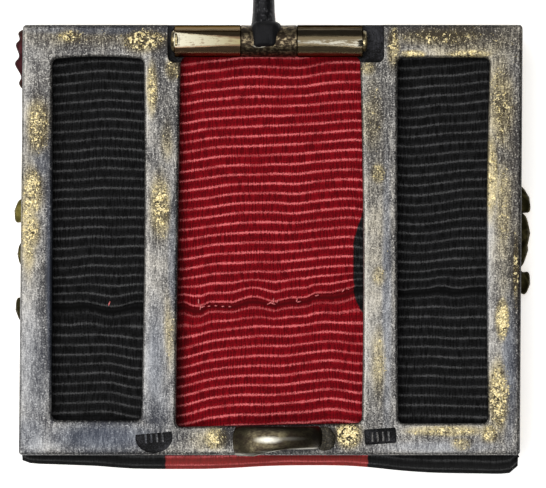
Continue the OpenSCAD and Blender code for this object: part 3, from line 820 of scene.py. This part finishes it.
# The two ends: how much is turned in, how tightly, how far each stays from the seam, how much
# lower the lower one lies, and over what length of cloth that and its line blend away
HEM = 0.8
HEM_R = 0.32
OVERLAP = -0.08
LOWER_DIP = 0.14
BLEND = 2.8
# The ribs start this far from a turned-in end
RIBS_START = 0.4
# How far the cloth puckers at the seam, rises in waves and sags, and how far the puckers reach
PUCKER = 0.2
PUCKER_REACH = 3.2
WAVE = 0.12
SAG = 0.12
# Ribs that the cloth gains under the bottom rail and where the seam draws it up, and over what
# length of cloth
RAIL_GAIN = (0.52, 2)
SEAM_GAIN = (0.1, 2.6)
# From this x to the right, the seam lies one rib higher
HIGHER_FROM = 7.3
# Lines across the ribbon: [x, rise of the ribs above the seam, rise of the ribs below it, y of
# the bottom fold]
LINES = [(-17.9, -0.45, -0.45, -15.95), (-17.3, -0.45, -0.45, -16.15), (-15.1, -0.42, -0.42, -16.25),
         (-12.6, -0.22, -0.31, -16.35), (-11.2, -0.22, -0.42, -16.45), (-9.4, -0.3, -0.7, -16.55),
         (-6.3, -0.47, -0.6, -16.57), (-4.3, -0.17, -0.1, -16.55), (-2.4, 0.0, 0.13, -16.47),
         (-0.9, 0.05, 0.2, -16.38), (0.2, 0.07, 0.22, -16.34), (2.2, 0.11, 0.38, -16.3),
         (4.1, 0.32, 0.6, -16.3), (6.4, 0.4, 0.38, -16.38), (9.7, -0.04, 0.18, -16.7),
         (12.2, 0.14, 0.13, -16.85), (15.4, 0.4, 0.08, -16.9), (17.1, 0.45, 0.05, -16.9),
         (17.55, 0.45, 0.05, -16.75), (17.9, 0.45, 0.05, -16.35)]
# The seam: [x, y]
SEAM = [(-17.9, -4.65), (-15.5, -4.6), (-13, -4.55), (-11.6, -4.85), (-9.4, -4.6), (-6.4, -4.55),
        (-5.2, -4.95), (-4.3, -4.55), (-2.8, -4.65), (-2.2, -4.4), (-1.1, -4.2), (0.1, -4.5),
        (1.0, -4.28), (2.5, -4.22), (3.2, -3.98), (4.9, -3.75), (6.2, -3.35), (9.4, -3.6),
        (12, -3.5), (15, -3.4), (17.9, -3.4)]
upper_run = TOP_FOLD - FOLD_R - SEAM_Y
front_run = TOP_FOLD - BOTTOM_FOLD - 2 * FOLD_R
lower_run = SEAM_Y - BOTTOM_FOLD - FOLD_R
fold_run = math.pi * FOLD_R
ribbon_run = upper_run + front_run + lower_run + 2 * fold_run
cloth_length = ribbon_run + 2 * HEM


def values_at(rows, x):
    """The values of some rows at any x, on smooth curves through the rows."""
    k = max(0, min(len(rows) - 2, sum(row[0] <= x for row in rows) - 1))
    before, here, there, after = (rows[max(0, min(len(rows) - 1, k + i))] for i in (-1, 0, 1, 2))
    span = there[0] - here[0]
    t = (x - here[0]) / span
    values = []
    for c in range(1, len(here)):
        slope_here = (there[c] - before[c]) / max(there[0] - before[0], span) * span
        slope_there = (after[c] - here[c]) / max(after[0] - here[0], span) * span
        values.append((2 * t ** 3 - 3 * t * t + 1) * here[c] + (t ** 3 - 2 * t * t + t) * slope_here
                      + (3 * t * t - 2 * t ** 3) * there[c] + (t ** 3 - t * t) * slope_there)
    return values


def ease(value):
    value = max(0, min(1, value))
    return value * value * (3 - 2 * value)


def hem(along):
    """Way in from the seam and depth below the surface, at a distance from a turned-in end."""
    if along < 0:
        return OVERLAP, HEM_R - along
    turn = min(along / HEM_R, math.pi / 2)
    return OVERLAP + HEM_R * (1 - math.cos(turn)) + max(0, along - HEM_R * math.pi / 2), \
        HEM_R * (1 - math.sin(turn))


def ribbon_point(x, along, values):
    """Where the cloth is, and its outward direction: along runs up from the seam, over the top,
    down the front, round the bottom fold and back up to the seam."""
    upper, lower, fold, seam = values
    top, bottom = TOP_FOLD - FOLD_R + upper, fold + FOLD_R
    down = along - upper_run - fold_run
    up = down - front_run - fold_run
    if along <= upper_run:
        step, depth = hem(along)
        near = ease(along / BLEND)
        return x, SEAM_Y + step + (1 - near) * (seam - SEAM_Y) + near * upper, \
            RIBBON_HIGH - depth, 0, 1
    if down <= 0:
        turn = (along - upper_run) / FOLD_R
        return x, top + FOLD_R * math.sin(turn), FOLD_MIDDLE + FOLD_R * math.cos(turn), \
            math.sin(turn), math.cos(turn)
    if down <= front_run:
        return x, top + (bottom - top) * down / front_run, RIBBON_LOW, 0, -1
    if up <= 0:
        turn = (down - front_run) / FOLD_R
        return x, bottom - FOLD_R * math.sin(turn), FOLD_MIDDLE - FOLD_R * math.cos(turn), \
            -math.sin(turn), -math.cos(turn)
    step, depth = hem(ribbon_run - along)
    near_fold, near_seam = 1 - ease(up / BLEND), 1 - ease((lower_run - up) / BLEND)
    rise = (1 - near_seam) * lower + near_seam * (seam - SEAM_Y)
    return x, SEAM_Y - step + near_fold * (fold - BOTTOM_FOLD) + (1 - near_fold) * rise, \
        RIBBON_HIGH - depth - LOWER_DIP * near_seam, 0, 1


def rib_count(x, along):
    """Ribs from the seam, up over the top fold and round, to a place along the cloth."""
    to_seam = ribbon_run - along
    higher = ease(x - HIGHER_FROM)
    return along / RIB_PITCH + higher * (1 - ease(along / SEAM_GAIN[1])) \
        + RAIL_GAIN[0] * ease((lower_run - to_seam) / RAIL_GAIN[1]) \
        + (SEAM_GAIN[0] + higher) * (1 - ease(to_seam / SEAM_GAIN[1]))


points, quads, weave = [], [], []
rows = int(cloth_length / RIB_PITCH * RIB_ROWS)
for column in range(ACROSS + 1):
    across = column / ACROSS
    x = (across - 0.5) * RIBBON_WIDTH
    values = values_at(LINES, x) + values_at(SEAM, x)
    for row in range(rows + 1):
        along = cloth_length * row / rows - HEM
        near_seam = min(along, ribbon_run - along)
        above = along if along < ribbon_run / 2 else along - ribbon_run
        pucker = PUCKER * (1 - ease(near_seam / PUCKER_REACH)) \
            * noise.noise(Vector((x / 1.3, above / 3, 7))) \
            + WAVE * noise.noise(Vector((x / 2.1, above / 5, 2)))
        px, py, pz, out_y, out_z = ribbon_point(x, along, values)
        ribs = rib_count(x, along)
        rib = RIB_HEIGHT * (2 * (ribs % 1) - 1) ** 2 * ease(near_seam / RIBS_START)
        sag = SAG * (noise.noise(Vector((x / 3, along / 4, 3))) + 0.5) * abs(out_z)
        points.append(Vector((px, py - out_y * rib + pucker * max(0, out_z),
                              pz - out_z * (rib + max(0, sag)))) * MM)
        weave.append((x, ribs))
    for row in range(rows if column else 0):
        a = (column - 1) * (rows + 1) + row
        quads.append((a, a + rows + 1, a + rows + 2, a + 1))
ribbon_mesh = bpy.data.meshes.new("folded_ribbon")
ribbon_mesh.from_pydata(points, [], quads)
ribbon_mesh.uv_layers.new(name="weave")
for loop, corner in zip(ribbon_mesh.uv_layers["weave"].data, ribbon_mesh.loops):
    loop.uv = weave[corner.vertex_index]
folded_ribbon = bpy.data.objects.new("folded_ribbon", ribbon_mesh)
bpy.context.scene.collection.objects.link(folded_ribbon)
finish_with(folded_ribbon, "SOLIDIFY", thickness=CLOTH * MM, offset=-1)
ribbon_mesh.shade_smooth()

# Colours of the black and the red silk: their threads, the painted shade in the grooves between the
# ribs, the painted sheen on the crests, and the cloth that has faded on the bottom fold
BLACK_THREADS = ((0.003, 0.003, 0.003), (0.013, 0.013, 0.0135))
RED_THREADS = ((0.095, 0.001, 0.003), (0.24, 0.003, 0.008))
GROOVE_SHADE = ((0.002, 0.002, 0.002), (0.06, 0.001, 0.002))
CREST_SHEEN = ((0.08, 0.08, 0.08), (0.64, 0.13, 0.135))
CREST_SHEEN_SHARES = ((0.55, 0.55, 0.55), (1, 1, 1))
FADED = ((0.012, 0.012, 0.012), (0.3, 0.062, 0.05))
SHADOW_BY_BAR_COLOUR = (0.006, 0.001, 0.001)
# Edges of the red stripe: [x where it is black, x where it is red]
RED_LEFT = (-7.62, -7.5)
RED_RIGHT = (7.12, 7.0)
# The weave map counts millimetres across the cloth, and ribs along it
silk = Finish("ribbed_silk", Specular_IOR_Level=0.06)
woven = silk.node("UVMap", {"uv_map": "weave"})
from_crest = silk.node("Math", {"operation": "PINGPONG"}, [silk.part(woven, 1) + 0.5, 0.5]) * 2
threads = silk.grain(silk.stretched(woven, 1 / 0.1, 1 / 1.3, 1), 1.0, 1)
specks = silk.grain(silk.stretched(woven, 1 / 0.11, 1 / 0.14, 1), 1.0, 1)
patchy = silk.grain(silk.stretched(woven, 1 / 2.4, 1 / 0.8, 1), 1.0, 3)
worn = silk.band(threads * 0.6 + specks * 0.4, 0.4, 0.6)
line = from_crest + (0.5 - threads) * 0.25 + (0.5 - specks) * 0.45
side = silk.part(silk.place, 0) / MM
below_seam = silk.band(side, HIGHER_FROM, HIGHER_FROM + 1) + ribbon_run / RIB_PITCH \
    + RAIL_GAIN[0] + SEAM_GAIN[0] - silk.part(woven, 1)
# The ribs' tops carry a painted sheen
crest_sheen = silk.band(line, 0.36, 0.0) * (silk.band(below_seam, 0.5, 2.4) * 0.8 + 0.2) \
    * silk.band(below_seam, 0.35, 0.6) \
    * (silk.band(specks + threads * 0.5, 0.45, 0.9) * 0.8 + 0.35) \
    * (silk.band(patchy, 0.3, 0.62) * 0.65 + 0.35)
height = silk.part(silk.place, 1) / MM
on_back = silk.band(silk.part(silk.place, 2) / MM, 3.3, 3.6)
bulge = silk.band(height, 3.8, -0.6) * silk.band(height, -6.6, -3.4) * on_back * 1.05
wobble = (silk.grain(silk.place, 0.6 * MM, 2) - 0.5) * 0.2
red = silk.band(side + wobble, *RED_LEFT) * silk.band(side + bulge + wobble, *RED_RIGHT)
body = silk.mix(red, silk.mix(worn, *BLACK_THREADS), silk.mix(worn, *RED_THREADS))
# Painted shade: the grooves between the ribs, and the cloth just below the seam, are darkened
ends_on = silk.band(from_crest, 0.45, 1.0)
shadow_under_seam = silk.band(below_seam, 1.8, 0.3) * 0.75
body = silk.mix(ends_on * 0.5 + shadow_under_seam, body, silk.mix(red, *GROOVE_SHADE))
# Painted sheen: a lighter colour on the ribs' tops, where silk catches the lamp
top = silk.mix(red, *CREST_SHEEN)
cloth_colour = silk.mix(crest_sheen * silk.mix(red, *CREST_SHEEN_SHARES), body, top)
faded = silk.mix(red, *FADED)
cloth_colour = silk.mix(silk.band(height, -15.4, -15.8) * 0.4, cloth_colour, faded)
# Painted shadow: the cloth beside the bar on the middle window's left is darkened, as the bar's
# shadow
shadow_by_bar = silk.band(side + wobble + height * 0.012, -5.85, -6.75) * silk.band(side, -8.4, -7.8) \
    * silk.band(height, -15, -14) * on_back
cloth_colour = silk.mix(shadow_by_bar * 0.75, cloth_colour, SHADOW_BY_BAR_COLOUR)
silk.show(Base_Color=cloth_colour, Roughness=0.85 - crest_sheen * 0.4,
          Normal=silk.bump(threads, 0.03 * MM, 0.5))
folded_ribbon.data.materials.append(silk.material)
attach(folded_ribbon, "badge")
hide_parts("ribbon")
cloth_length * MM

# Seam thread
# Pink sewing thread that closes the loop: short stitches and a few knots, which stand up where
# they draw the two turned-in ends together.
THREAD_R = 0.05
SEAM_DIP = 0.16
SEAM_LEVEL = RIBBON_HIGH - SEAM_DIP
# A stitch from end to end: [share of its length, share of its rise]
LOOP = ((-0.5, -0.3), (-0.4, 1), (0.4, 1), (0.5, -0.3))
# Stitches: [x, distance above the seam, length, direction in degrees, height of the loop]
STITCHES = [(-11.6, 0.25, 0.3, 70, 0.16), (-5.15, 0.5, 0.35, 92, 0.15), (-5.0, 0.1, 0.4, 80, 0.2),
            (-4.85, 0.0, 0.3, 20, 0.12), (-4.4, -0.2, 0.12, 10, 0.08), (-3.9, -0.2, 0.12, 0, 0.08),
            (-3.4, -0.18, 0.14, 5, 0.08), (-2.9, -0.15, 0.12, 0, 0.08), (0.0, -0.05, 0.4, 30, 0.2),
            (0.2, -0.08, 0.35, -20, 0.22), (0.25, 0.12, 0.3, 85, 0.16), (0.55, 0.0, 0.25, 60, 0.15),
            (1.95, -0.05, 0.3, 80, 0.14), (2.1, -0.2, 0.2, 10, 0.1), (3.4, -0.05, 0.2, 15, 0.1),
            (4.9, 0.1, 0.2, 20, 0.14), (5.3, 0.0, 0.25, 50, 0.18), (5.6, 0.0, 0.2, -30, 0.14)]


def stitch(x, above, length, turn, rise):
    """A loop of thread whose two ends go down into the cloth."""
    y = values_at(SEAM, x)[0] + above
    curve = bpy.data.curves.new("stitch", "CURVE")
    curve.dimensions = "3D"
    curve.bevel_depth = THREAD_R * MM
    curve.bevel_resolution = 2
    curve.resolution_u = 6
    way = Vector((math.cos(math.radians(turn)), math.sin(math.radians(turn)), 0))
    spline = curve.splines.new("NURBS")
    spline.points.add(len(LOOP) - 1)
    spline.order_u = 4
    spline.use_endpoint_u = True
    for point, (share, up) in zip(spline.points, LOOP):
        place = Vector((x, y, SEAM_LEVEL + rise * up)) + way * length * share
        point.co = (*place * MM, 1)
    loop = bpy.data.objects.new("stitch", curve)
    bpy.context.scene.collection.objects.link(loop)
    pick(loop)
    bpy.ops.object.convert(target="MESH")
    return loop


def join(pieces, name):
    """Makes one piece of several."""
    pick(*pieces)
    bpy.ops.object.join()
    pieces[0].name = pieces[0].data.name = name
    return pieces[0]


seam_thread = join([stitch(*row) for row in STITCHES], "seam_thread")
seam_thread.data.shade_smooth()
cotton = Finish("pink_thread", Roughness=0.6, Specular_IOR_Level=0.3)
twist = cotton.grain(cotton.place, 0.08 * MM, 3, 0.7)
seam_thread.data.materials.append(cotton.show(
    Base_Color=cotton.mix(cotton.band(twist, 0.35, 0.65), (0.32, 0.03, 0.04), (0.7, 0.22, 0.21)),
    Normal=cotton.bump(twist, 0.03 * MM, 0.8)))
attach(seam_thread, "badge")
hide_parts("ribbon")

# Front frame
# A gilt border that carries the wreath, with a line cut round it, under the folded ribbon.
FRONT_LOW = 1.4
FRONT_HIGH = 2.2
LINE_IN = 0.6
LINE_WIDTH = 0.35
LINE_DEPTH = 0.25
FRONT_EASED = 0.1
# The front frame is this much smaller all round than the back plate
TUCKED = 0.18


def ring_block(name, inset, width, low_z, high_z):
    """A rectangular ring that follows the frame's outline at a distance inside it."""
    half_x, half_y = WIDTH / 2 - inset, HEIGHT / 2 - inset
    ring = block(name, (-half_x, -half_y, low_z), (half_x, half_y, high_z))
    cut(ring, block("middle", (width - half_x, width - half_y, low_z - PAST),
                    (half_x - width, half_y - width, high_z + PAST)))
    return ring


front_border = ring_block("front_border", TUCKED, RIM - TUCKED, FRONT_LOW, FRONT_HIGH)
cut(front_border, ring_block("line", LINE_IN, LINE_WIDTH, FRONT_LOW - PAST,
                             FRONT_LOW + LINE_DEPTH))
soften(front_border, FRONT_EASED)
gilt, colour, rough, rise = gilt_metal("gilt_border", (0.82, 0.62, 0.28), (0.2, 0.14, 0.06), 0.4,
                                       0.6)
front_border.data.materials.append(gilt.show(Base_Color=colour, Roughness=rough, Normal=rise))
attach(front_border, "badge")
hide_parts("front_frame")

# Oak wreath
# Two branches of struck and gilt oak leaves with acorns, laid along an oval stem. A second row
# of leaves lies on the first, and the tips of the outer row show past the back frame.
WREATH_BASE = 1.35
# The oval of the stem: [half width, half height, squareness]
OVAL = (13.9, 10.9, 2.8)
STEM_WIDTH = 1.2
STEM_HEIGHT = 0.55
BRANCH_START = 15
LEAF_LENGTH = 6.6
LEAF_WIDTH = 3.7
LEAF_RIM = 0.2
# The flat underside of a leaf is drawn in to these shares of its length and width
LEAF_UNDER = (0.95, 0.86)
# Stations of a leaf: [share of its length, share of its width, share of its height, how far its
# edge sweeps forward]
LEAF = [(0.06, 0.2, 0.6, 0.1), (0.18, 0.95, 0.95, 0.55), (0.29, 0.42, 0.65, 0.2),
        (0.44, 1.12, 1.0, 0.7), (0.55, 0.5, 0.7, 0.25), (0.7, 0.98, 0.95, 0.6),
        (0.78, 0.53, 0.75, 0.3), (0.89, 0.76, 0.75, 0.2), (0.96, 0.56, 0.65, 0.05),
        (1.0, 0.24, 0.5, -0.1)]
# Section of a leaf from its midrib to its edge: [share of half width, height]
LEAF_SECTION = [(0, 0.9), (0.12, 0.74), (0.55, 0.78), (1, 0.42)]
# Outer leaves from the tie upward: [share of the way up, size, turn]
OUTER_LEAVES = [(0.02, 0.85, 40), (0.12, 0.85, 40), (0.22, 0.9, 42), (0.32, 0.8, 46),
                (0.415, 0.68, 58), (0.5, 0.7, 58), (0.59, 0.8, 44), (0.69, 0.82, 40),
                (0.79, 0.84, 42), (0.89, 0.8, 46)]
# Leaves in the corners, and then those that show past the frame: [base x, base y, heading, size]
EDGE_LEAVES = [(-13.4, 9.8, 146, 0.75), (13.1, 9.8, 32, 0.78), (-12.6, -9.2, 184, 0.78),
               (12.4, -9.2, -12, 0.78), (-17.08, 10.05, 92, 0.82), (-14.15, 1.4, 170, 0.68),
               (-14.07, -0.95, 181, 0.65), (-14.05, -4.45, 188, 0.68), (-16.72, -4.12, 267, 0.8),
               (13.85, 1.38, 19, 0.8), (11.45, 0.5, 0, 1.13), (11.8, 0, -6, 1.06),
               (14.6, -2.5, -9, 0.66)]
# Inner leaves and then the second row on top, so many on each branch: [step ahead, turn, size,
# lift]
INNER_LEAVES = 6
INNER_ROWS = ((0.3, -42, 0.8, 0), (0.1, 0, 0.92, 0.45))
# Acorns: shares of the way up, their turn from the branch and their lift, and the stations of
# one from its cup to its tip: [way along, radius]
ACORNS = (0.2, 0.48, 0.76)
ACORN_TURN = 75
ACORN_LIFT = 0.5
ACORN = [(0, 0.25), (0.08, 0.7), (0.35, 0.83), (0.7, 0.82), (0.78, 0.68), (1.1, 0.72),
         (1.55, 0.62), (1.9, 0.38), (2.05, 0.14), (2.12, 0.03)]
STEM_EASED = 0.2
TIE_WIDTH = 3
TIE_LENGTH = 5
TIE_TURNS = 10
TIE_GROOVE = (0.06, 0.18)
TIE_EASED = 0.12


def oval_point(angle):
    """A point of the stem's middle line at this many degrees from the right."""
    a, b, power = OVAL
    c, s = math.cos(math.radians(angle)), math.sin(math.radians(angle))
    return Vector((c, s)) * ((abs(c) / a) ** power + (abs(s) / b) ** power) ** (-1 / power)


def branch_point(side, up):
    """A point of the left (-1) or right (1) branch at a share of the way up."""
    point = oval_point(-90 + BRANCH_START + up * (180 - 2 * BRANCH_START))
    return Vector((side * point.x, point.y))


def heading(side, up):
    way = branch_point(side, up + 0.01) - branch_point(side, up - 0.01)
    return math.degrees(math.atan2(way.y, way.x))


def on_front(x, y, turn, height):
    """Places a form drawn with its front up on the wreath's plane, with its front down."""
    return (Matrix.Translation(Vector((x, y, WREATH_BASE - height)) * MM)
            @ Matrix.Rotation(math.radians(turn), 4, "Z") @ Matrix.Rotation(math.pi, 4, "X"))


def make_leaf():
    """A lobed leaf from its base at the origin to its tip along +X, arched over its midrib."""
    leaf = start(bpy.ops.mesh.primitive_grid_add, "leaf", x_subdivisions=1, y_subdivisions=6,
                 size=2 * MM)
    edit(leaf)
    before, old_width, old_height, old_sweep = LEAF[0]
    mesh = bmesh.from_edit_mesh(leaf.data)
    for v in mesh.verts:
        share, rise = LEAF_SECTION[round(abs(v.co.y) * 3 / MM)]
        ahead = v.co.x > 0
        v.co = Vector(((before * LEAF_LENGTH + old_sweep * share) * ahead,
                       math.copysign(share, v.co.y) * old_width * LEAF_WIDTH / 2,
                       rise * old_height)) * MM
        v.select_set(ahead)
    mesh.select_flush_mode()
    bmesh.update_edit_mesh(leaf.data)
    for after, width, height, sweep in LEAF[1:]:
        bpy.ops.mesh.extrude_region_move(
            TRANSFORM_OT_translate={"value": ((after - before) * LEAF_LENGTH * MM, 0, 0)})
        bpy.ops.transform.resize(
            value=(sweep / old_sweep, width / old_width, height / old_height),
            center_override=(after * LEAF_LENGTH * MM, 0, 0))
        before, old_width, old_height, old_sweep = after, width, height, sweep
    done()
    finish_with(leaf, "SUBSURF", levels=2, render_levels=2)
    edit(leaf)
    bpy.ops.mesh.select_mode(type="EDGE")
    bpy.ops.mesh.select_non_manifold()
    bpy.ops.mesh.extrude_region_move()
    bpy.ops.transform.resize(value=(1, 1, 0), center_override=(0, 0, LEAF_RIM * MM))
    bpy.ops.mesh.extrude_region_move(TRANSFORM_OT_translate={"value": (0, 0, -LEAF_RIM * MM)})
    bpy.ops.transform.resize(value=(*LEAF_UNDER, 1), center_override=(LEAF_LENGTH / 2 * MM, 0, 0))
    bpy.ops.mesh.edge_face_add()
    turn_outwards()
    done()
    veins = leaf.data.uv_layers[0] if leaf.data.uv_layers else leaf.data.uv_layers.new()
    veins.name = "veins"
    for loop, corner in zip(veins.data, leaf.data.loops):
        place = leaf.data.vertices[corner.vertex_index].co / MM
        loop.uv = (place.x / LEAF_LENGTH, place.y / LEAF_WIDTH + 0.5)
    smooth(leaf, 50)
    return leaf


def make_acorn():
    """An acorn from its cup at the origin to its tip along +X."""
    acorn = turned("acorn", ACORN, 20)
    acorn.data.transform(Matrix.Rotation(math.pi / 2, 4, "Y"))
    acorn.data.uv_layers.new(name="veins")
    smooth(acorn, 50)
    return acorn


def copy_of(pattern, name, place):
    """A copy with its own mesh, which the matrix puts in its place."""
    copy = bpy.data.objects.new(name, pattern.data.copy())
    bpy.context.scene.collection.objects.link(copy)
    copy.data.transform(place)
    return copy


leaf = make_leaf()
acorn = make_acorn()


def place_leaf(x, y, turn, size, lift=0):
    """A copy of the leaf with its base at x, y and its tip this way."""
    return copy_of(leaf, "leaf_copy",
                   on_front(x, y, turn, lift) @ Matrix.Diagonal((size, size, 1, 1)))


def branch_leaf(side, up, turn, size, lift=0):
    """A leaf at a share of the way up a branch, so many degrees outwards from the stem."""
    return place_leaf(*branch_point(side, up), heading(side, up) - side * turn, size, lift)


branches = []
for side, branch_name in ((-1, "left_branch"), (1, "right_branch")):
    parts = [branch_leaf(side, up, turn, size) for up, size, turn in OUTER_LEAVES]
    for k in range(INNER_LEAVES):
        for ahead, turn, size, lift in INNER_ROWS:
            parts.append(branch_leaf(side, (k + ahead) / INNER_LEAVES, turn, size, lift))
    parts += [place_leaf(*row) for row in EDGE_LEAVES if row[0] * side > 0]
    for up in ACORNS:
        x, y = branch_point(side, up)
        parts.append(copy_of(acorn, "acorn_copy",
                             on_front(x, y, heading(side, up) + side * ACORN_TURN, ACORN_LIFT)))
    branches.append(join(parts, branch_name))
bpy.data.objects.remove(leaf)
bpy.data.objects.remove(acorn)

stem = start(bpy.ops.mesh.primitive_circle_add, "stem", vertices=72, radius=MM)
edit(stem)
mesh = bmesh.from_edit_mesh(stem.data)
for v in mesh.verts:
    outer = oval_point(math.degrees(math.atan2(v.co.y, v.co.x))) * (1 + STEM_WIDTH / 2 / OVAL[1])
    v.co = (outer.x * MM, outer.y * MM, (WREATH_BASE - STEM_HEIGHT) * MM)
bmesh.update_edit_mesh(stem.data)
bpy.ops.mesh.select_all(action="SELECT")
narrow = (1 - STEM_WIDTH / 2 / OVAL[1]) / (1 + STEM_WIDTH / 2 / OVAL[1])
bpy.ops.mesh.extrude_region_move()
bpy.ops.transform.resize(value=(narrow, narrow, 1), center_override=(0, 0, 0))
bpy.ops.mesh.select_all(action="SELECT")
bpy.ops.mesh.extrude_region_move(TRANSFORM_OT_translate={"value": (0, 0, STEM_HEIGHT * MM)})
turn_outwards()
done()
soften(stem, STEM_EASED)
roughen(stem, 0.5, 0.08)
smooth(stem)

ties = []
for side in (-1, 1):
    low_y = side * (HEIGHT / 2 - TIE_LENGTH / 2) - TIE_LENGTH / 2
    tie = block("tie", (-TIE_WIDTH / 2, low_y, 0), (TIE_WIDTH / 2, low_y + TIE_LENGTH, WREATH_BASE))
    edit(tie)
    choose(tie, "EDGE", lambda p, e: abs(p.y - low_y - TIE_LENGTH / 2) < 0.1)
    bpy.ops.mesh.subdivide(number_cuts=TIE_TURNS - 1)
    choose(tie, "FACE", lambda p, f: f.normal.z < -0.9
           and round((p.y - low_y) / TIE_LENGTH * TIE_TURNS - 0.5) % 2 == 1)
    bpy.ops.mesh.inset(thickness=TIE_GROOVE[0] * MM, depth=-TIE_GROOVE[1] * MM,
                       use_individual=True)
    done()
    soften(tie, TIE_EASED)
    smooth(tie)
    ties.append(tie)
tie_bands = join(ties, "tie_bands")

# Tips that show past the frame, reddish and golden: [x, y, half width, half height, amount]
COPPER_TIPS = [(-18.2, 13.2, 1.0, 3.0, 1.0), (-18.2, -7.8, 1.0, 2.2, 0.6)]
GOLDEN_TIPS = [(-18.2, 2.0, 0.8, 1.4, 1.0), (-18.1, -1.4, 0.8, 1.2, 0.4)]
COPPER = (0.045, 0.012, 0.015)
DULL_GOLD = (0.13, 0.11, 0.03)
DARK_BACKS = ((0.004, 0.004, 0.003), (0.04, 0.035, 0.012))
gilt, colour, rough, rise = gilt_metal("struck_gilt", (0.85, 0.64, 0.28), (0.12, 0.085, 0.035),
                                       0.4, 0.45)
leaf_place = gilt.node("UVMap", {"uv_map": "veins"})
along_leaf = gilt.part(leaf_place, 0)
off_rib = (gilt.part(leaf_place, 1) - 0.5).math("ABSOLUTE")
back_side = gilt.band(gilt.part(gilt.place, 2) / MM, 0.5, 1.3)
vein = gilt.node("Math", {"operation": "PINGPONG"}, [(along_leaf - off_rib * 0.9) * 8, 0.5]) * 2
vein = gilt.band(vein, 0.3, 0.0) * (1 - back_side)
# Painted shade: the backs of the leaves, whose tips show under the frame's edge, are painted near
# black
shade = gilt.mix(back_side * 0.99, colour,
                 gilt.mix(gilt.grain(gilt.place, 0.3 * MM, 3), *DARK_BACKS))
shade = gilt.mix(gilt.spots(COPPER_TIPS) * 0.95, shade, COPPER)
shade = gilt.mix(gilt.spots(GOLDEN_TIPS) * 0.9, shade, DULL_GOLD)
struck = gilt.show(Base_Color=shade, Roughness=rough + back_side * 0.2,
                   Normal=gilt.bump(vein, 0.12 * MM, 0.7, rise))
for piece in (*branches, stem, tie_bands):
    piece.data.materials.append(struck)
    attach(piece, "badge")
    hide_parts("oak_wreath")

# Numerals
# Flat gilt letters with eased edges, joined by their serifs and pegged through the ribbon.
LETTER_EASED = 0.16
SAME_POINT = 0.002
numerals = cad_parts["numerals"]
weld = numerals.modifiers.new("weld", "WELD")
weld.merge_threshold = SAME_POINT * MM
eased = numerals.modifiers.new("eased_edges", "BEVEL")
eased.width = LETTER_EASED * MM
eased.segments = 3
eased.limit_method = "ANGLE"
eased.angle_limit = math.radians(SHARP)
gilt, colour, rough, rise = gilt_metal("polished_gilt", (0.9, 0.7, 0.33), (0.3, 0.2, 0.08), 0.34,
                                       0.7)
numerals.data.materials.clear()
numerals.data.materials.append(gilt.show(Base_Color=colour, Roughness=rough, Normal=rise))
